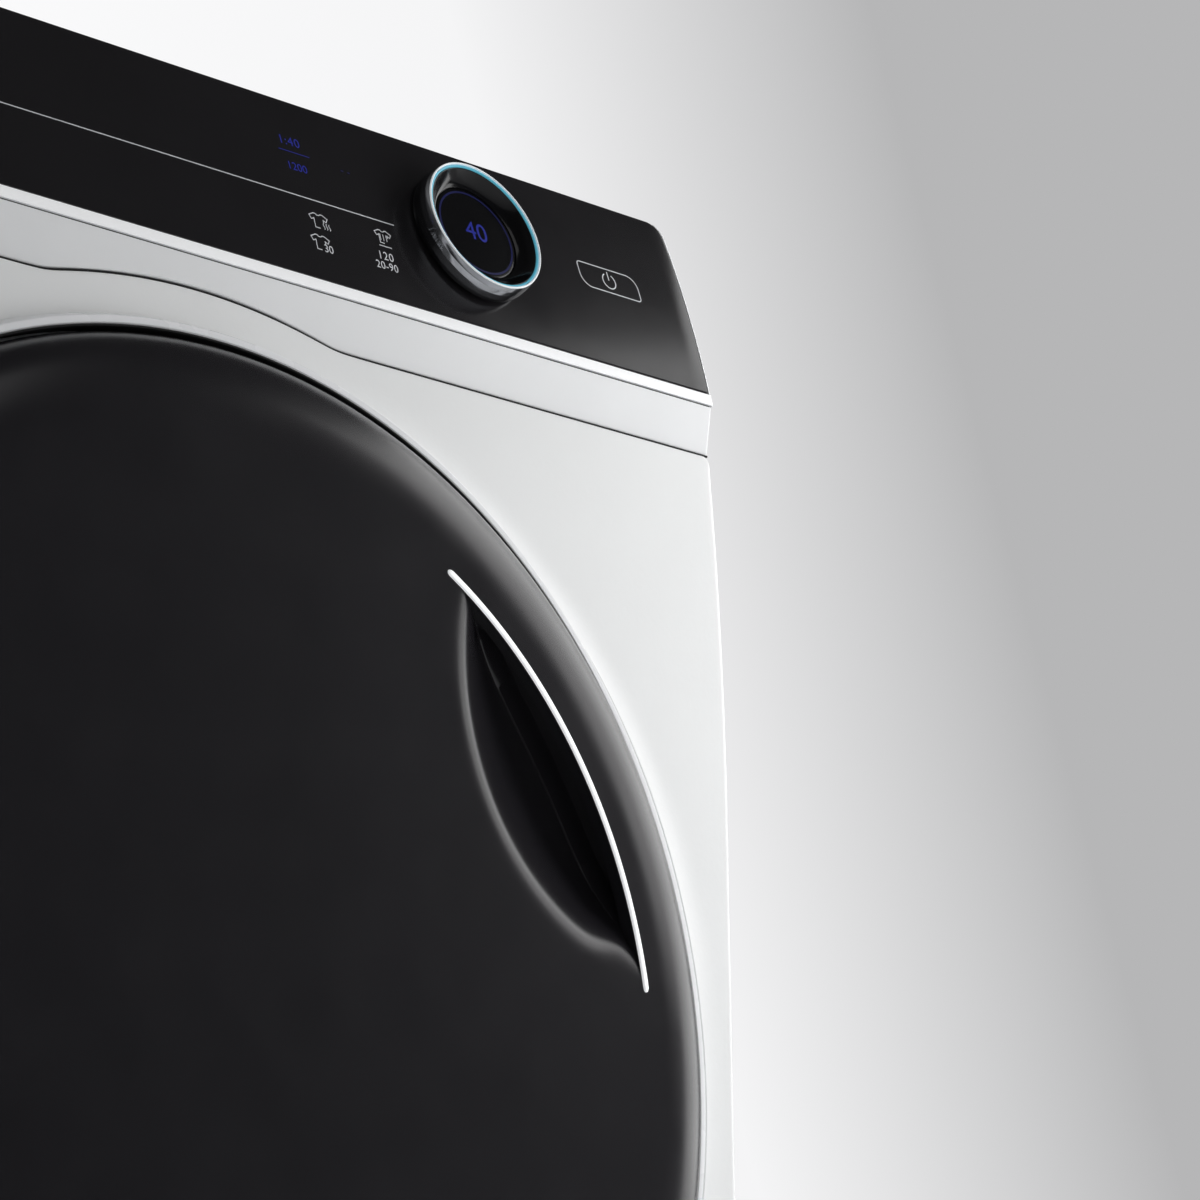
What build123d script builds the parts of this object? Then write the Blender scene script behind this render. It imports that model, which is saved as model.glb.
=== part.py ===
from build123d import *
import math
import os

os.makedirs("parts", exist_ok=True)

# A front-loading washer dryer, in millimetres. The origin is on the floor under the middle of the
# machine, +X to the right of someone facing it, +Y into it and +Z up. "Depth" is measured from the
# flat front face, and is negative for what stands in front of it.

# Door: a round dished cover with a rolled edge
DOOR_R = 269
DOOR_Z = 449
CROWN = 25
DOME_SAG = 3.5
ROLL_WIDTH = 24
ROLL_DEPTH = 17.5
DOOR_BACK = 7
DOOR_WALL = 3
DOOR_GAP = 2.5

# Pull: a scoop whose far side is cut under the bright strip
STRIP_R = 221
STRIP_WIDTH = 3.2
STRIP_PROUD = 0.9
STRIP_SEAT = 5
STRIP_ANGLES = (9.7, 61.0)
SCOOP_R = 120
SCOOP_REACH = 287.6
SCOOP_ANGLE = 35
SCOOP_FLOOR = 2
SCOOP_FLOOR_R = 84
SCOOP_LIP = 6
FINGER_ROOM = 10
FINGER_DEPTH = 18
FINGER_ANGLES = (16, 54)

# Surround of the door, moulded in one with the seat of the gasket
COLLAR_PROUD = 3
COLLAR_WIDTH = 5.5
COLLAR_BACK = 9
COLLAR_FLANGE = 14
SURROUND_WALL = 2.5
DISH_DEPTH = 17
OPENING_R = 176
OPENING_FLANGE = 10

# Front panel and cabinet
SHEET = 1
SIDE_MARGIN = 12
PANEL_RETURN = 20
PANEL_BOTTOM = 110
PANEL_EDGE_R = 4
BEND_BELOW_SEAM = 165
BEND_R = 1940
SEAM_ABOVE_DOOR = 286
SEAM_GAP = 1.2
BUMP_WIDTH = 8.8
FLANGE = 22
CORNER_R = 3

# Console: its curved dark face over a bright lip and a band
BAND_HEIGHT = 21.3
BAND_DEPTH = 9.1
LIP_BACK_DEPTH = 5.9
LIP_DEPTH = 5.2
LIP_TOP_DEPTH = 6.4
LIP_GROOVE = 0.7
LIP_HEIGHT = 5.8
FACE_HEIGHT = 85.5
FACE_BOTTOM_DEPTH = 6.9
FACE_TOP_DEPTH = 36
FACE_R = 520
FACE_CORNER_R = 9
PANEL_T = 3
CONSOLE_WALL = 2.5
CONSOLE_END = 3.5
CONSOLE_BACK = 46
DRAWER_EDGE = -112
PART_GAP = 0.3

# Worktop
WORKTOP_T = 30
WORKTOP_ABOVE_FACE = 2
WORKTOP_EDGE_R = 3

# Programme knob
KNOB_X = 160.3
KNOB_ABOVE_FACE = 42.2
KNOB_TILT = 19
KNOB_R = 32
KNOB_BASE_R = 31.4
KNOB_WALL = 2.5
KNOB_LIFT = 0.8
KNOB_TOP = 9.6
KNOB_RIM_H = 2.3
KNOB_POST_R = 14
KNOB_WEB = 1.2
KNOB_WEB_H = 1.3
DISPLAY_R = 22.4
DISPLAY_H = 3.9
DISPLAY_T = 1.4
KNOB_CLEARANCE = 0.4

# Detergent drawer
TRAY_DEPTH = 190
TRAY_HEIGHT = 54
TRAY_WALL = 2
TRAY_SIDE_GAP = 0.5
HOUSING_WALL = 2
HOUSING_SIDE = 4
GRIP_WIDTH = 90
GRIP_HEIGHT = 12

# Feet and base
FOOT_R = 22
FOOT_PAD_H = 12
FOOT_H = 18
FOOT_STEM_R = 4.9
FOOT_STEM_L = 42
FOOT_X = 250
FOOT_DEPTHS = (60, 505)
BASE_T = 3
BASE_RIM = 24
SHELL_LIFT = 8
PLINTH_WALL = 2.5

# Filter flap and the pump behind it
FLAP_X = 210
FLAP_WIDTH = 120
FLAP_BOTTOM = FOOT_H + 16
FLAP_HEIGHT = 66
PUMP_R = 29
PUMP_LENGTH = 140

# Drum and tub
DRUM_R = 240
DRUM_SHEET = 1
DRUM_MOUTH_R = 168
DRUM_FRONT = 97
DRUM_LENGTH = 318
TUB_GAP = 12
TUB_WALL = 3
TUB_FLANGE = 13
TUB_BACK_GAP = 29
TUB_BACK_WALL = 4
TUB_FRONT_GAP = 10
NECK_LENGTH = 18
NECK_R = 172
LIFTER_HEIGHT = 42
LIFTER_WIDTH = 56
SPIDER_ARM = 30
SPIDER_T = 16
SPIDER_HUB_R = 28
SHAFT_R = 15
RUNNING_FIT = 0.05
HUB_R = 45
HUB_LENGTH = 52
BEARING_W = 14
BEARING_R = 31

# Direct-drive motor
STATOR_R = 124
STATOR_T = 26
STATOR_TEETH = 24
STATOR_CORE_R = 84
ROTOR_R = 134
ROTOR_GAP = 2
ROTOR_SHEET = 3
REAR_ROOM = 16

# Rear fittings
FITTING_PROUD = 15
THREAD_R = 13.2
SPOUT_R = 11

# Glass bowl, its frame and the gasket round it
FRAME_INSET = 4
FRAME_T = 3
FRAME_RIM = 6
BOWL_FLANGE_R = 171.5
BOWL_MOUTH_R = 157
BOWL_END_R = 126
BOWL_DEPTH = 95
BOWL_DOME = 12
GLASS_T = 4
LIP_TOUCH = 0.5
GASKET_T = 3

# Hinge and latch
HINGE_X = -266
HINGE_DEPTH = -7
HINGE_SPAN = 50
KNUCKLE_R = 4.5
KNUCKLE_H = 8
PIN_R = 2.5
HOOK_X = 222
HOOK_LENGTH = 30
HOOK_T = 6
HOOK_H = 16
HOOK_STUD_R = 1.5
LOCK_ROOM = 6

# Worked out from the sizes above
COLLAR_R = DOOR_R + DOOR_GAP
COLLAR_OUTER_R = COLLAR_R + COLLAR_WIDTH
FLANGE_R = COLLAR_R + COLLAR_FLANGE
BUMP_R = FLANGE_R + BUMP_WIDTH
FRAME_R = DOOR_R - FRAME_INSET
WIDTH = 2 * (FLANGE_R + SIDE_MARGIN)
SEAM_Z = DOOR_Z + SEAM_ABOVE_DOOR
BEND_Z = SEAM_Z - BEND_BELOW_SEAM
LIP_Z = SEAM_Z + BAND_HEIGHT + LIP_GROOVE
FACE_BOTTOM_Z = LIP_Z + LIP_HEIGHT - PART_GAP
CONSOLE_TOP_Z = FACE_BOTTOM_Z + FACE_HEIGHT
HEIGHT = CONSOLE_TOP_Z + WORKTOP_ABOVE_FACE
WORKTOP_Z = HEIGHT - WORKTOP_T
FACE_SEAT = PANEL_T + PART_GAP

NECK_FRONT = DRUM_FRONT - TUB_FRONT_GAP - TUB_WALL - NECK_LENGTH
TUB_FRONT = NECK_FRONT + NECK_LENGTH
DRUM_BACK = DRUM_FRONT + DRUM_LENGTH
TUB_R = DRUM_R + TUB_GAP
TUB_OUTER_R = TUB_R + TUB_WALL
TUB_FLANGE_R = TUB_OUTER_R + TUB_FLANGE
TUB_BACK = DRUM_BACK + TUB_BACK_GAP
TUB_REAR_FACE = TUB_BACK + TUB_BACK_WALL
TUB_SPLIT = (TUB_FRONT + TUB_BACK) / 2 - 18
HUB_END = TUB_BACK + HUB_LENGTH
STATOR_FRONT = HUB_END + 8
ROTOR_BACK = STATOR_FRONT + STATOR_T + 8
SHAFT_END = ROTOR_BACK + 6
CABINET_DEPTH = SHAFT_END + REAR_ROOM
DEPTH = CROWN + CABINET_DEPTH + FITTING_PROUD
FRONT_Y = -DEPTH / 2 + CROWN

SHELL_BOTTOM = FOOT_H + SHELL_LIFT
SHELL_FRONT = PANEL_RETURN + PART_GAP

FRONT = Plane(origin=(0, FRONT_Y, 0), x_dir=(1, 0, 0), z_dir=(0, -1, 0))
SIDE = Plane(origin=(0, FRONT_Y, 0), x_dir=(0, 1, 0), z_dir=(1, 0, 0))
TOP = Plane(origin=(0, FRONT_Y, 0), x_dir=(1, 0, 0), z_dir=(0, 0, 1))
DISC = Plane(origin=(0, FRONT_Y, DOOR_Z), x_dir=(1, 0, 0), z_dir=(0, -1, 0))
AXLE = Plane(origin=(0, FRONT_Y, DOOR_Z), x_dir=(0, 1, 0), z_dir=(1, 0, 0))
DRUM_AXIS = Axis((0, FRONT_Y, DOOR_Z), (0, 1, 0))
DEEP = 2 * CABINET_DEPTH


def at(x, depth, z):
    """A point in the machine's frame from its depth behind the front face."""
    return (x, FRONT_Y + depth, z)


def radial_plane(angle):
    """Plane through the drum axis: x is depth and y the radius, at an angle up from +X."""
    turn = math.radians(angle)
    across = (math.sin(turn), 0, -math.cos(turn))
    return Plane(origin=(0, FRONT_Y, DOOR_Z), x_dir=(0, 1, 0), z_dir=across)


def turned(points):
    """Solid of revolution about the drum axis from (depth, radius) points."""
    with BuildPart() as body:
        with BuildSketch(AXLE):
            with BuildLine():
                Polyline(*points, close=True)
            make_face()
        revolve(axis=DRUM_AXIS)
    return body.part


def block(x_range, depth_range, z_range):
    """Rectangular block between two places on each axis."""
    width = x_range[1] - x_range[0]
    depth = depth_range[1] - depth_range[0]
    height = z_range[1] - z_range[0]
    centre = at(sum(x_range) / 2, sum(depth_range) / 2, sum(z_range) / 2)
    with BuildPart() as body:
        with Locations(centre):
            Box(width, depth, height)
    return body.part


# Front panel: a sheet that leans back over its top, with a bump over the door and returned edges


def panel_skin(inset, back):
    """Solid bounded by the front panel's skin, moved inwards by inset."""
    half = WIDTH / 2 - inset
    bottom = PANEL_BOTTOM + inset
    top = SEAM_Z - SEAM_GAP + BUMP_R - SEAM_ABOVE_DOOR + 5
    lean = math.asin((top - BEND_Z) / (BEND_R - inset))
    with BuildPart() as skin:
        with BuildSketch(SIDE.offset(-half)):
            with BuildLine():
                Polyline((back, bottom), (inset, bottom), (inset, BEND_Z))
                bend = CenterArc((BEND_R, BEND_Z), BEND_R - inset, 180, -math.degrees(lean))
                Polyline(bend @ 1, (back, top), (back, bottom))
            make_face()
        extrude(amount=2 * half)
        with BuildSketch(DISC.offset(-DEEP / 2)) as outline:
            straight = SEAM_ABOVE_DOOR - SEAM_GAP - inset
            foot = bottom - DOOR_Z - inset
            with Locations((0, (straight + foot) / 2)):
                Rectangle(2 * half + 2, straight - foot)
            Circle(BUMP_R - inset)
            corners = outline.vertices().filter_by(
                lambda v: abs(v.Y - straight) < 0.1 and abs(v.X) < half - 20
            )
            fillet(corners, 12)
        extrude(amount=DEEP, mode=Mode.INTERSECT)
        edges = skin.edges().filter_by(
            lambda e: e.center().Y < FRONT_Y + 9
            and (abs(abs(e.center().X) - half) < 0.1 or e.center().Z > SEAM_Z - 4)
            and abs(e.tangent_at(0.5).Y) < 0.5
            and e.center().Z > PANEL_BOTTOM + 10
        )
        fillet(edges, PANEL_EDGE_R - inset)
    return skin.part


def collar_cone(grow):
    """Cone of the collar's flank, which the front panel is cut to."""
    run = COLLAR_BACK + COLLAR_PROUD + 4
    rise = run * (COLLAR_WIDTH - SHEET) / (COLLAR_BACK + COLLAR_PROUD)
    start = -COLLAR_PROUD - 2
    low = COLLAR_OUTER_R - 2 + grow
    return turned([(start, 0), (start, low), (start + run, low + rise), (start + run, 0)])


with BuildPart() as front_panel:
    add(panel_skin(0, PANEL_RETURN))
    add(panel_skin(SHEET, PANEL_RETURN + 1), mode=Mode.SUBTRACT)
    add(collar_cone(0.1), mode=Mode.SUBTRACT)
front_panel.part.label = "front_panel"
export_step(front_panel.part, "parts/front_panel.step")


# Door surround: collar ring, recess for the door and the flange that the gasket grips


def hinge_levels():
    """Height of each hinge's meeting plane."""
    return [DOOR_Z - HINGE_SPAN, DOOR_Z + HINGE_SPAN]


with BuildPart() as door_surround:
    floor_back = DISH_DEPTH + SURROUND_WALL
    add(
        turned(
            [
                (-COLLAR_PROUD, COLLAR_R),
                (-COLLAR_PROUD, COLLAR_R + 1),
                (0, COLLAR_OUTER_R - 0.6),
                (COLLAR_BACK, COLLAR_OUTER_R + 1.8),
                (COLLAR_BACK, FLANGE_R),
                (COLLAR_BACK + SURROUND_WALL, FLANGE_R),
                (COLLAR_BACK + SURROUND_WALL, COLLAR_R + SURROUND_WALL),
                (floor_back, COLLAR_R + SURROUND_WALL),
                (floor_back, OPENING_R),
                (floor_back + OPENING_FLANGE, OPENING_R),
                (floor_back + OPENING_FLANGE, OPENING_R - SURROUND_WALL),
                (DISH_DEPTH, OPENING_R - SURROUND_WALL),
                (DISH_DEPTH, COLLAR_R),
            ]
        )
    )
    for level in hinge_levels():
        notch_z = (level - KNUCKLE_H - 1, level + KNUCKLE_H + 1)
        notch_x = (-FLANGE_R - 2, HINGE_X + KNUCKLE_R + 0.5)
        add(block(notch_x, (-COLLAR_PROUD - 1, DISH_DEPTH - 1), notch_z), mode=Mode.SUBTRACT)
    slot_x = (HOOK_X - HOOK_T, HOOK_X + HOOK_T + LOCK_ROOM)
    slot_z = (DOOR_Z - HOOK_H / 2 - 2, DOOR_Z + HOOK_H / 2 + 2)
    add(block(slot_x, (DISH_DEPTH - 1, floor_back + 1), slot_z), mode=Mode.SUBTRACT)
door_surround.part.label = "door_surround"
export_step(door_surround.part, "parts/door_surround.step")


# Cabinet walls: two folded side panels and the rear panel between their flanges

SHELL_MIDDLE = (SHELL_FRONT + CABINET_DEPTH) / 2
SHELL_LENGTH = CABINET_DEPTH - SHELL_FRONT
SERVICE_WIDTH = 330
SERVICE_HEIGHT = 400
TRANSIT_R = 17
TRANSIT_PLACES = [(-205, DOOR_Z - 150), (205, DOOR_Z - 150), (-205, DOOR_Z + 150), (205, DOOR_Z + 150)]
VALVE_X = -235
VALVE_Z = WORKTOP_Z - 35
DRAIN_X = 250
DRAIN_Z = 110
GLAND_X = -250
GLAND_Z = 110
GLAND_R = 8
SPRING_X = 228
SPRING_DEPTH = TUB_SPLIT + 50
HANGER_Z = WORKTOP_Z - 36
HANGER_T = 4

with BuildPart() as side_panels:
    with BuildSketch(TOP.offset(SHELL_BOTTOM)):
        with Locations((0, SHELL_MIDDLE)):
            RectangleRounded(WIDTH, SHELL_LENGTH, CORNER_R)
            RectangleRounded(
                WIDTH - 2 * SHEET, SHELL_LENGTH - 2 * SHEET, CORNER_R - SHEET, mode=Mode.SUBTRACT
            )
            Rectangle(WIDTH - 2 * FLANGE, SHELL_LENGTH + 4 * SHEET, mode=Mode.SUBTRACT)
    extrude(amount=WORKTOP_Z - SHELL_BOTTOM)
    console_room = (SHELL_FRONT - 1, CONSOLE_BACK + PART_GAP)
    add(
        block((-WIDTH, WIDTH), console_room, (SEAM_Z, WORKTOP_Z + 1)),
        mode=Mode.SUBTRACT,
    )
    for side in (-1, 1):
        shelf_x = sorted((side * (WIDTH / 2 - SHEET / 2), side * (SPRING_X - 12)))
        shelf_y = (SPRING_DEPTH - 9, SPRING_DEPTH + 9)
        add(block(shelf_x, shelf_y, (HANGER_Z, HANGER_Z + HANGER_T)))
side_panels.part.label = "side_panels"
export_step(side_panels.part, "parts/side_panels.step")

with BuildPart() as rear_panel:
    with BuildSketch(FRONT.offset(-CABINET_DEPTH)):
        with Locations((0, (SHELL_BOTTOM + WORKTOP_Z) / 2)):
            Rectangle(WIDTH - 2 * FLANGE - 2 * PART_GAP, WORKTOP_Z - SHELL_BOTTOM)
        with Locations((0, DOOR_Z)):
            RectangleRounded(SERVICE_WIDTH, SERVICE_HEIGHT, 30, mode=Mode.SUBTRACT)
        with Locations(*TRANSIT_PLACES):
            Circle(TRANSIT_R, mode=Mode.SUBTRACT)
        with Locations((VALVE_X, VALVE_Z)):
            Circle(THREAD_R + 1, mode=Mode.SUBTRACT)
        with Locations((DRAIN_X, DRAIN_Z)):
            Circle(SPOUT_R + 1, mode=Mode.SUBTRACT)
        with Locations((GLAND_X, GLAND_Z)):
            Circle(GLAND_R + PART_GAP, mode=Mode.SUBTRACT)
    extrude(amount=SHEET)
rear_panel.part.label = "rear_panel"
export_step(rear_panel.part, "parts/rear_panel.step")

with BuildPart() as rear_cover:
    dome_r = ROTOR_R - 4
    with BuildSketch(FRONT.offset(-CABINET_DEPTH - SHEET)):
        with Locations((0, DOOR_Z)):
            RectangleRounded(SERVICE_WIDTH + 24, SERVICE_HEIGHT + 24, 36)
    extrude(amount=SHEET)
    add(turned([(CABINET_DEPTH - 5, 0), (CABINET_DEPTH - 5, dome_r), (CABINET_DEPTH + 5, dome_r),
                (CABINET_DEPTH + 5, 0)]), mode=Mode.SUBTRACT)
    back = CABINET_DEPTH + SHEET
    add(
        turned(
            [
                (CABINET_DEPTH, dome_r),
                (back, dome_r + 1),
                (back + 8, dome_r - 14),
                (back + 8, 0),
                (back + 8 - SHEET, 0),
                (back + 8 - SHEET, dome_r - 15),
            ]
        )
    )
rear_cover.part.label = "rear_cover"
export_step(rear_cover.part, "parts/rear_cover.step")

with BuildPart() as transit_plugs:
    with BuildSketch(FRONT.offset(-CABINET_DEPTH)):
        with Locations(*TRANSIT_PLACES):
            Circle(TRANSIT_R + 4)
    extrude(amount=-3)
    with BuildSketch(FRONT.offset(-CABINET_DEPTH)):
        with Locations(*TRANSIT_PLACES):
            Circle(TRANSIT_R - PART_GAP)
            Circle(TRANSIT_R - 2.5, mode=Mode.SUBTRACT)
    extrude(amount=10)
transit_plugs.part.label = "transit_plugs"
export_step(transit_plugs.part, "parts/transit_plugs.step")

with BuildPart() as cable_gland:
    with BuildSketch(FRONT.offset(-CABINET_DEPTH)):
        with Locations((GLAND_X, GLAND_Z)):
            Circle(GLAND_R + 4)
    extrude(amount=-3)
    with BuildSketch(FRONT.offset(-CABINET_DEPTH + 8)):
        with Locations((GLAND_X, GLAND_Z)):
            Circle(GLAND_R)
    extrude(amount=-20)
    with BuildSketch(FRONT.offset(-CABINET_DEPTH + 8)):
        with Locations((GLAND_X, GLAND_Z)):
            Circle(GLAND_R / 2)
    extrude(amount=-20, mode=Mode.SUBTRACT)
cable_gland.part.label = "cable_gland"
export_step(cable_gland.part, "parts/cable_gland.step")

with BuildPart() as worktop:
    top_front = CONSOLE_BACK + PART_GAP
    with BuildSketch(TOP.offset(WORKTOP_Z)):
        with Locations((0, (top_front + CABINET_DEPTH) / 2)):
            RectangleRounded(WIDTH, CABINET_DEPTH - top_front, CORNER_R)
    extrude(amount=WORKTOP_T)
    fillet(worktop.faces().sort_by(Axis.Z)[-1].edges(), WORKTOP_EDGE_R - 0.5)
worktop.part.label = "worktop"
export_step(worktop.part, "parts/worktop.step")

# Base tray with a boss over each foot, ribs and a plinth in front of it

BASE_HALF = WIDTH / 2 - SHEET - PART_GAP
BASE_FRONT = PANEL_RETURN + 4
BASE_BACK = CABINET_DEPTH - SHEET - PART_GAP
FOOT_PLACES = [(x, depth) for depth in FOOT_DEPTHS for x in (-FOOT_X, FOOT_X)]
PUMP_X = FLAP_X
PUMP_Z = FLAP_BOTTOM + FLAP_HEIGHT / 2
DAMPER_X = 175
DAMPER_DEPTHS = (TUB_SPLIT - 60, TUB_SPLIT + 80)
DAMPER_PLACES = [(x, depth) for depth in DAMPER_DEPTHS for x in (-DAMPER_X, DAMPER_X)]

with BuildPart() as base_tray:
    base_middle = (BASE_FRONT + BASE_BACK) / 2
    base_length = BASE_BACK - BASE_FRONT
    with BuildSketch(TOP.offset(FOOT_H)):
        with Locations((0, base_middle)):
            RectangleRounded(2 * BASE_HALF, base_length, CORNER_R)
    extrude(amount=BASE_RIM)
    with BuildSketch(TOP.offset(FOOT_H + BASE_T)):
        with Locations((0, base_middle)):
            Rectangle(2 * BASE_HALF - 2 * BASE_T, base_length - 2 * BASE_T)
    extrude(amount=BASE_RIM, mode=Mode.SUBTRACT)
    with BuildSketch(TOP.offset(FOOT_H)):
        with Locations(*FOOT_PLACES):
            Circle(FOOT_STEM_R + 12)
    extrude(amount=BASE_RIM)
    with BuildSketch(TOP.offset(FOOT_H)):
        with Locations(*DAMPER_PLACES):
            Rectangle(34, 34)
        for depth in (base_middle - 90, base_middle + 90):
            with Locations((0, depth)):
                Rectangle(2 * BASE_HALF - 4, BASE_T)
    extrude(amount=BASE_RIM - 8)
    with BuildSketch(TOP.offset(FOOT_H)):
        with Locations(*FOOT_PLACES):
            Circle(FOOT_STEM_R + 0.1)
    extrude(amount=BASE_RIM, mode=Mode.SUBTRACT)
    with BuildSketch(FRONT):
        with Locations((PUMP_X, PUMP_Z)):
            Circle(PUMP_R + 2)
    extrude(amount=-(BASE_FRONT + BASE_T + 1), mode=Mode.SUBTRACT)
base_tray.part.label = "base_tray"
export_step(base_tray.part, "parts/base_tray.step")

foot_names = ["foot_front_left", "foot_front_right", "foot_rear_left", "foot_rear_right"]
for name, (foot_x, foot_depth) in zip(foot_names, FOOT_PLACES):
    with BuildPart() as foot:
        with BuildSketch(TOP):
            with Locations((foot_x, foot_depth)):
                Circle(FOOT_R)
        extrude(amount=FOOT_PAD_H)
        chamfer(foot.edges().filter_by(GeomType.CIRCLE).sort_by(Axis.Z)[-1], 3)
        with BuildSketch(TOP.offset(FOOT_PAD_H)):
            with Locations((foot_x, foot_depth)):
                RegularPolygon(FOOT_STEM_R + 6, 6)
        extrude(amount=FOOT_H - FOOT_PAD_H)
        with BuildSketch(TOP.offset(FOOT_H)):
            with Locations((foot_x, foot_depth)):
                Circle(FOOT_STEM_R)
        extrude(amount=FOOT_STEM_L)
    foot.part.label = name
    export_step(foot.part, f"parts/{name}.step")

PLINTH_TOP = PANEL_BOTTOM - SEAM_GAP

with BuildPart() as plinth_panel:
    plinth_bottom = FOOT_H + 4
    with BuildSketch(FRONT):
        with Locations((0, (plinth_bottom + PLINTH_TOP) / 2)):
            Rectangle(WIDTH, PLINTH_TOP - plinth_bottom)
    extrude(amount=-PANEL_RETURN)
    front_edges = plinth_panel.faces().sort_by(Axis.Y)[0].edges()
    fillet(front_edges.filter_by(Axis.Z), PANEL_EDGE_R)
    with BuildSketch(FRONT.offset(-PLINTH_WALL)):
        with Locations((0, (plinth_bottom + PLINTH_TOP) / 2)):
            Rectangle(WIDTH - 2 * PLINTH_WALL, PLINTH_TOP - plinth_bottom - 2 * PLINTH_WALL)
    extrude(amount=-PANEL_RETURN, mode=Mode.SUBTRACT)
    with BuildSketch(FRONT):
        with Locations((FLAP_X, FLAP_BOTTOM + FLAP_HEIGHT / 2)):
            RectangleRounded(FLAP_WIDTH, FLAP_HEIGHT, 5)
    extrude(amount=-DEEP, mode=Mode.SUBTRACT)
    hinge_pin_x = FLAP_WIDTH / 2 + 2
    for side in (-1, 1):
        pin_x = sorted((FLAP_X + side * hinge_pin_x, FLAP_X + side * (hinge_pin_x - 6)))
        with BuildSketch(SIDE.offset(pin_x[0])):
            with Locations((PLINTH_WALL / 2, FLAP_BOTTOM + 5)):
                Circle(0.9)
        extrude(amount=pin_x[1] - pin_x[0])
plinth_panel.part.label = "plinth_panel"
export_step(plinth_panel.part, "parts/plinth_panel.step")

with BuildPart() as filter_flap:
    with BuildSketch(FRONT):
        with Locations((FLAP_X, FLAP_BOTTOM + FLAP_HEIGHT / 2)):
            RectangleRounded(FLAP_WIDTH - 1.6, FLAP_HEIGHT - 1.6, 4.2)
    extrude(amount=-PLINTH_WALL)
    with BuildSketch(SIDE.offset(FLAP_X - FLAP_WIDTH / 2 + 0.8)):
        with Locations((PLINTH_WALL / 2, FLAP_BOTTOM + 5)):
            Circle(2.4)
    extrude(amount=FLAP_WIDTH - 1.6)
    with BuildSketch(SIDE.offset(FLAP_X - FLAP_WIDTH / 2)):
        with Locations((PLINTH_WALL / 2, FLAP_BOTTOM + 5)):
            Circle(0.9 + 0.1)
    extrude(amount=FLAP_WIDTH, mode=Mode.SUBTRACT)
    with BuildSketch(FRONT):
        with Locations((FLAP_X, FLAP_BOTTOM + FLAP_HEIGHT - 7)):
            SlotOverall(34, 7)
    extrude(amount=-PLINTH_WALL, mode=Mode.SUBTRACT)
filter_flap.part.label = "filter_flap"
export_step(filter_flap.part, "parts/filter_flap.step")

# Console: bright lip and band in one white channel, which carries the dark curved face

FACE_CHORD = math.hypot(FACE_TOP_DEPTH - FACE_BOTTOM_DEPTH, FACE_HEIGHT)
FACE_DROP = math.sqrt(FACE_R**2 - FACE_CHORD**2 / 4)
FACE_CENTRE_DEPTH = (FACE_BOTTOM_DEPTH + FACE_TOP_DEPTH) / 2 + FACE_DROP * FACE_HEIGHT / FACE_CHORD
FACE_CENTRE_Z = (
    (FACE_BOTTOM_Z + CONSOLE_TOP_Z) / 2
    - FACE_DROP * (FACE_TOP_DEPTH - FACE_BOTTOM_DEPTH) / FACE_CHORD
)


def face_point(z, inset=0):
    """Point on the console's curved face, or that far inside it, at a height."""
    return (FACE_CENTRE_DEPTH - math.sqrt((FACE_R - inset) ** 2 - (z - FACE_CENTRE_Z) ** 2), z)


def face_plate(x_low, x_high):
    """The dark face between two places across the machine."""
    middle = (FACE_BOTTOM_Z + CONSOLE_TOP_Z) / 2
    with BuildPart() as plate:
        with BuildSketch(SIDE.offset(x_low)):
            with BuildLine():
                ThreePointArc(face_point(FACE_BOTTOM_Z), face_point(middle), face_point(CONSOLE_TOP_Z))
                Line(face_point(CONSOLE_TOP_Z), face_point(CONSOLE_TOP_Z, PANEL_T))
                ThreePointArc(
                    face_point(CONSOLE_TOP_Z, PANEL_T),
                    face_point(middle, PANEL_T),
                    face_point(FACE_BOTTOM_Z, PANEL_T),
                )
                Line(face_point(FACE_BOTTOM_Z, PANEL_T), face_point(FACE_BOTTOM_Z))
            make_face()
        extrude(amount=x_high - x_low)
    return plate.part


def channel_body(x_low, x_high, wall, back, bottom, top):
    """Solid with the console channel's section, moved inwards by a wall."""
    seat = FACE_SEAT + wall
    lip_top = LIP_Z + LIP_HEIGHT - 2 * PART_GAP - wall / 2
    with BuildPart() as body:
        with BuildSketch(SIDE.offset(x_low)):
            with BuildLine():
                Polyline(
                    (back, bottom),
                    (BAND_DEPTH + wall, bottom),
                    (LIP_BACK_DEPTH + wall, LIP_Z - LIP_GROOVE),
                    (LIP_DEPTH + wall, LIP_Z),
                    (LIP_TOP_DEPTH + wall, lip_top),
                    face_point(lip_top, seat),
                )
                ThreePointArc(
                    face_point(lip_top, seat),
                    face_point((lip_top + top) / 2, seat),
                    face_point(top, seat),
                )
                Polyline(face_point(top, seat), (back, top), (back, bottom))
            make_face()
        extrude(amount=x_high - x_low)
    return body.part


def console_channel(x_low, x_high):
    """White channel under the dark face, open at the back, with a wall at each end."""
    top = CONSOLE_TOP_Z - 1
    hollow_top = top - CONSOLE_WALL
    inside = (x_low + CONSOLE_END, x_high - CONSOLE_END)
    with BuildPart() as channel:
        add(channel_body(x_low, x_high, 0, CONSOLE_BACK, SEAM_Z, top))
        add(
            channel_body(*inside, CONSOLE_WALL, CONSOLE_BACK + 1, SEAM_Z + CONSOLE_WALL, hollow_top),
            mode=Mode.SUBTRACT,
        )
    return channel.part


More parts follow.
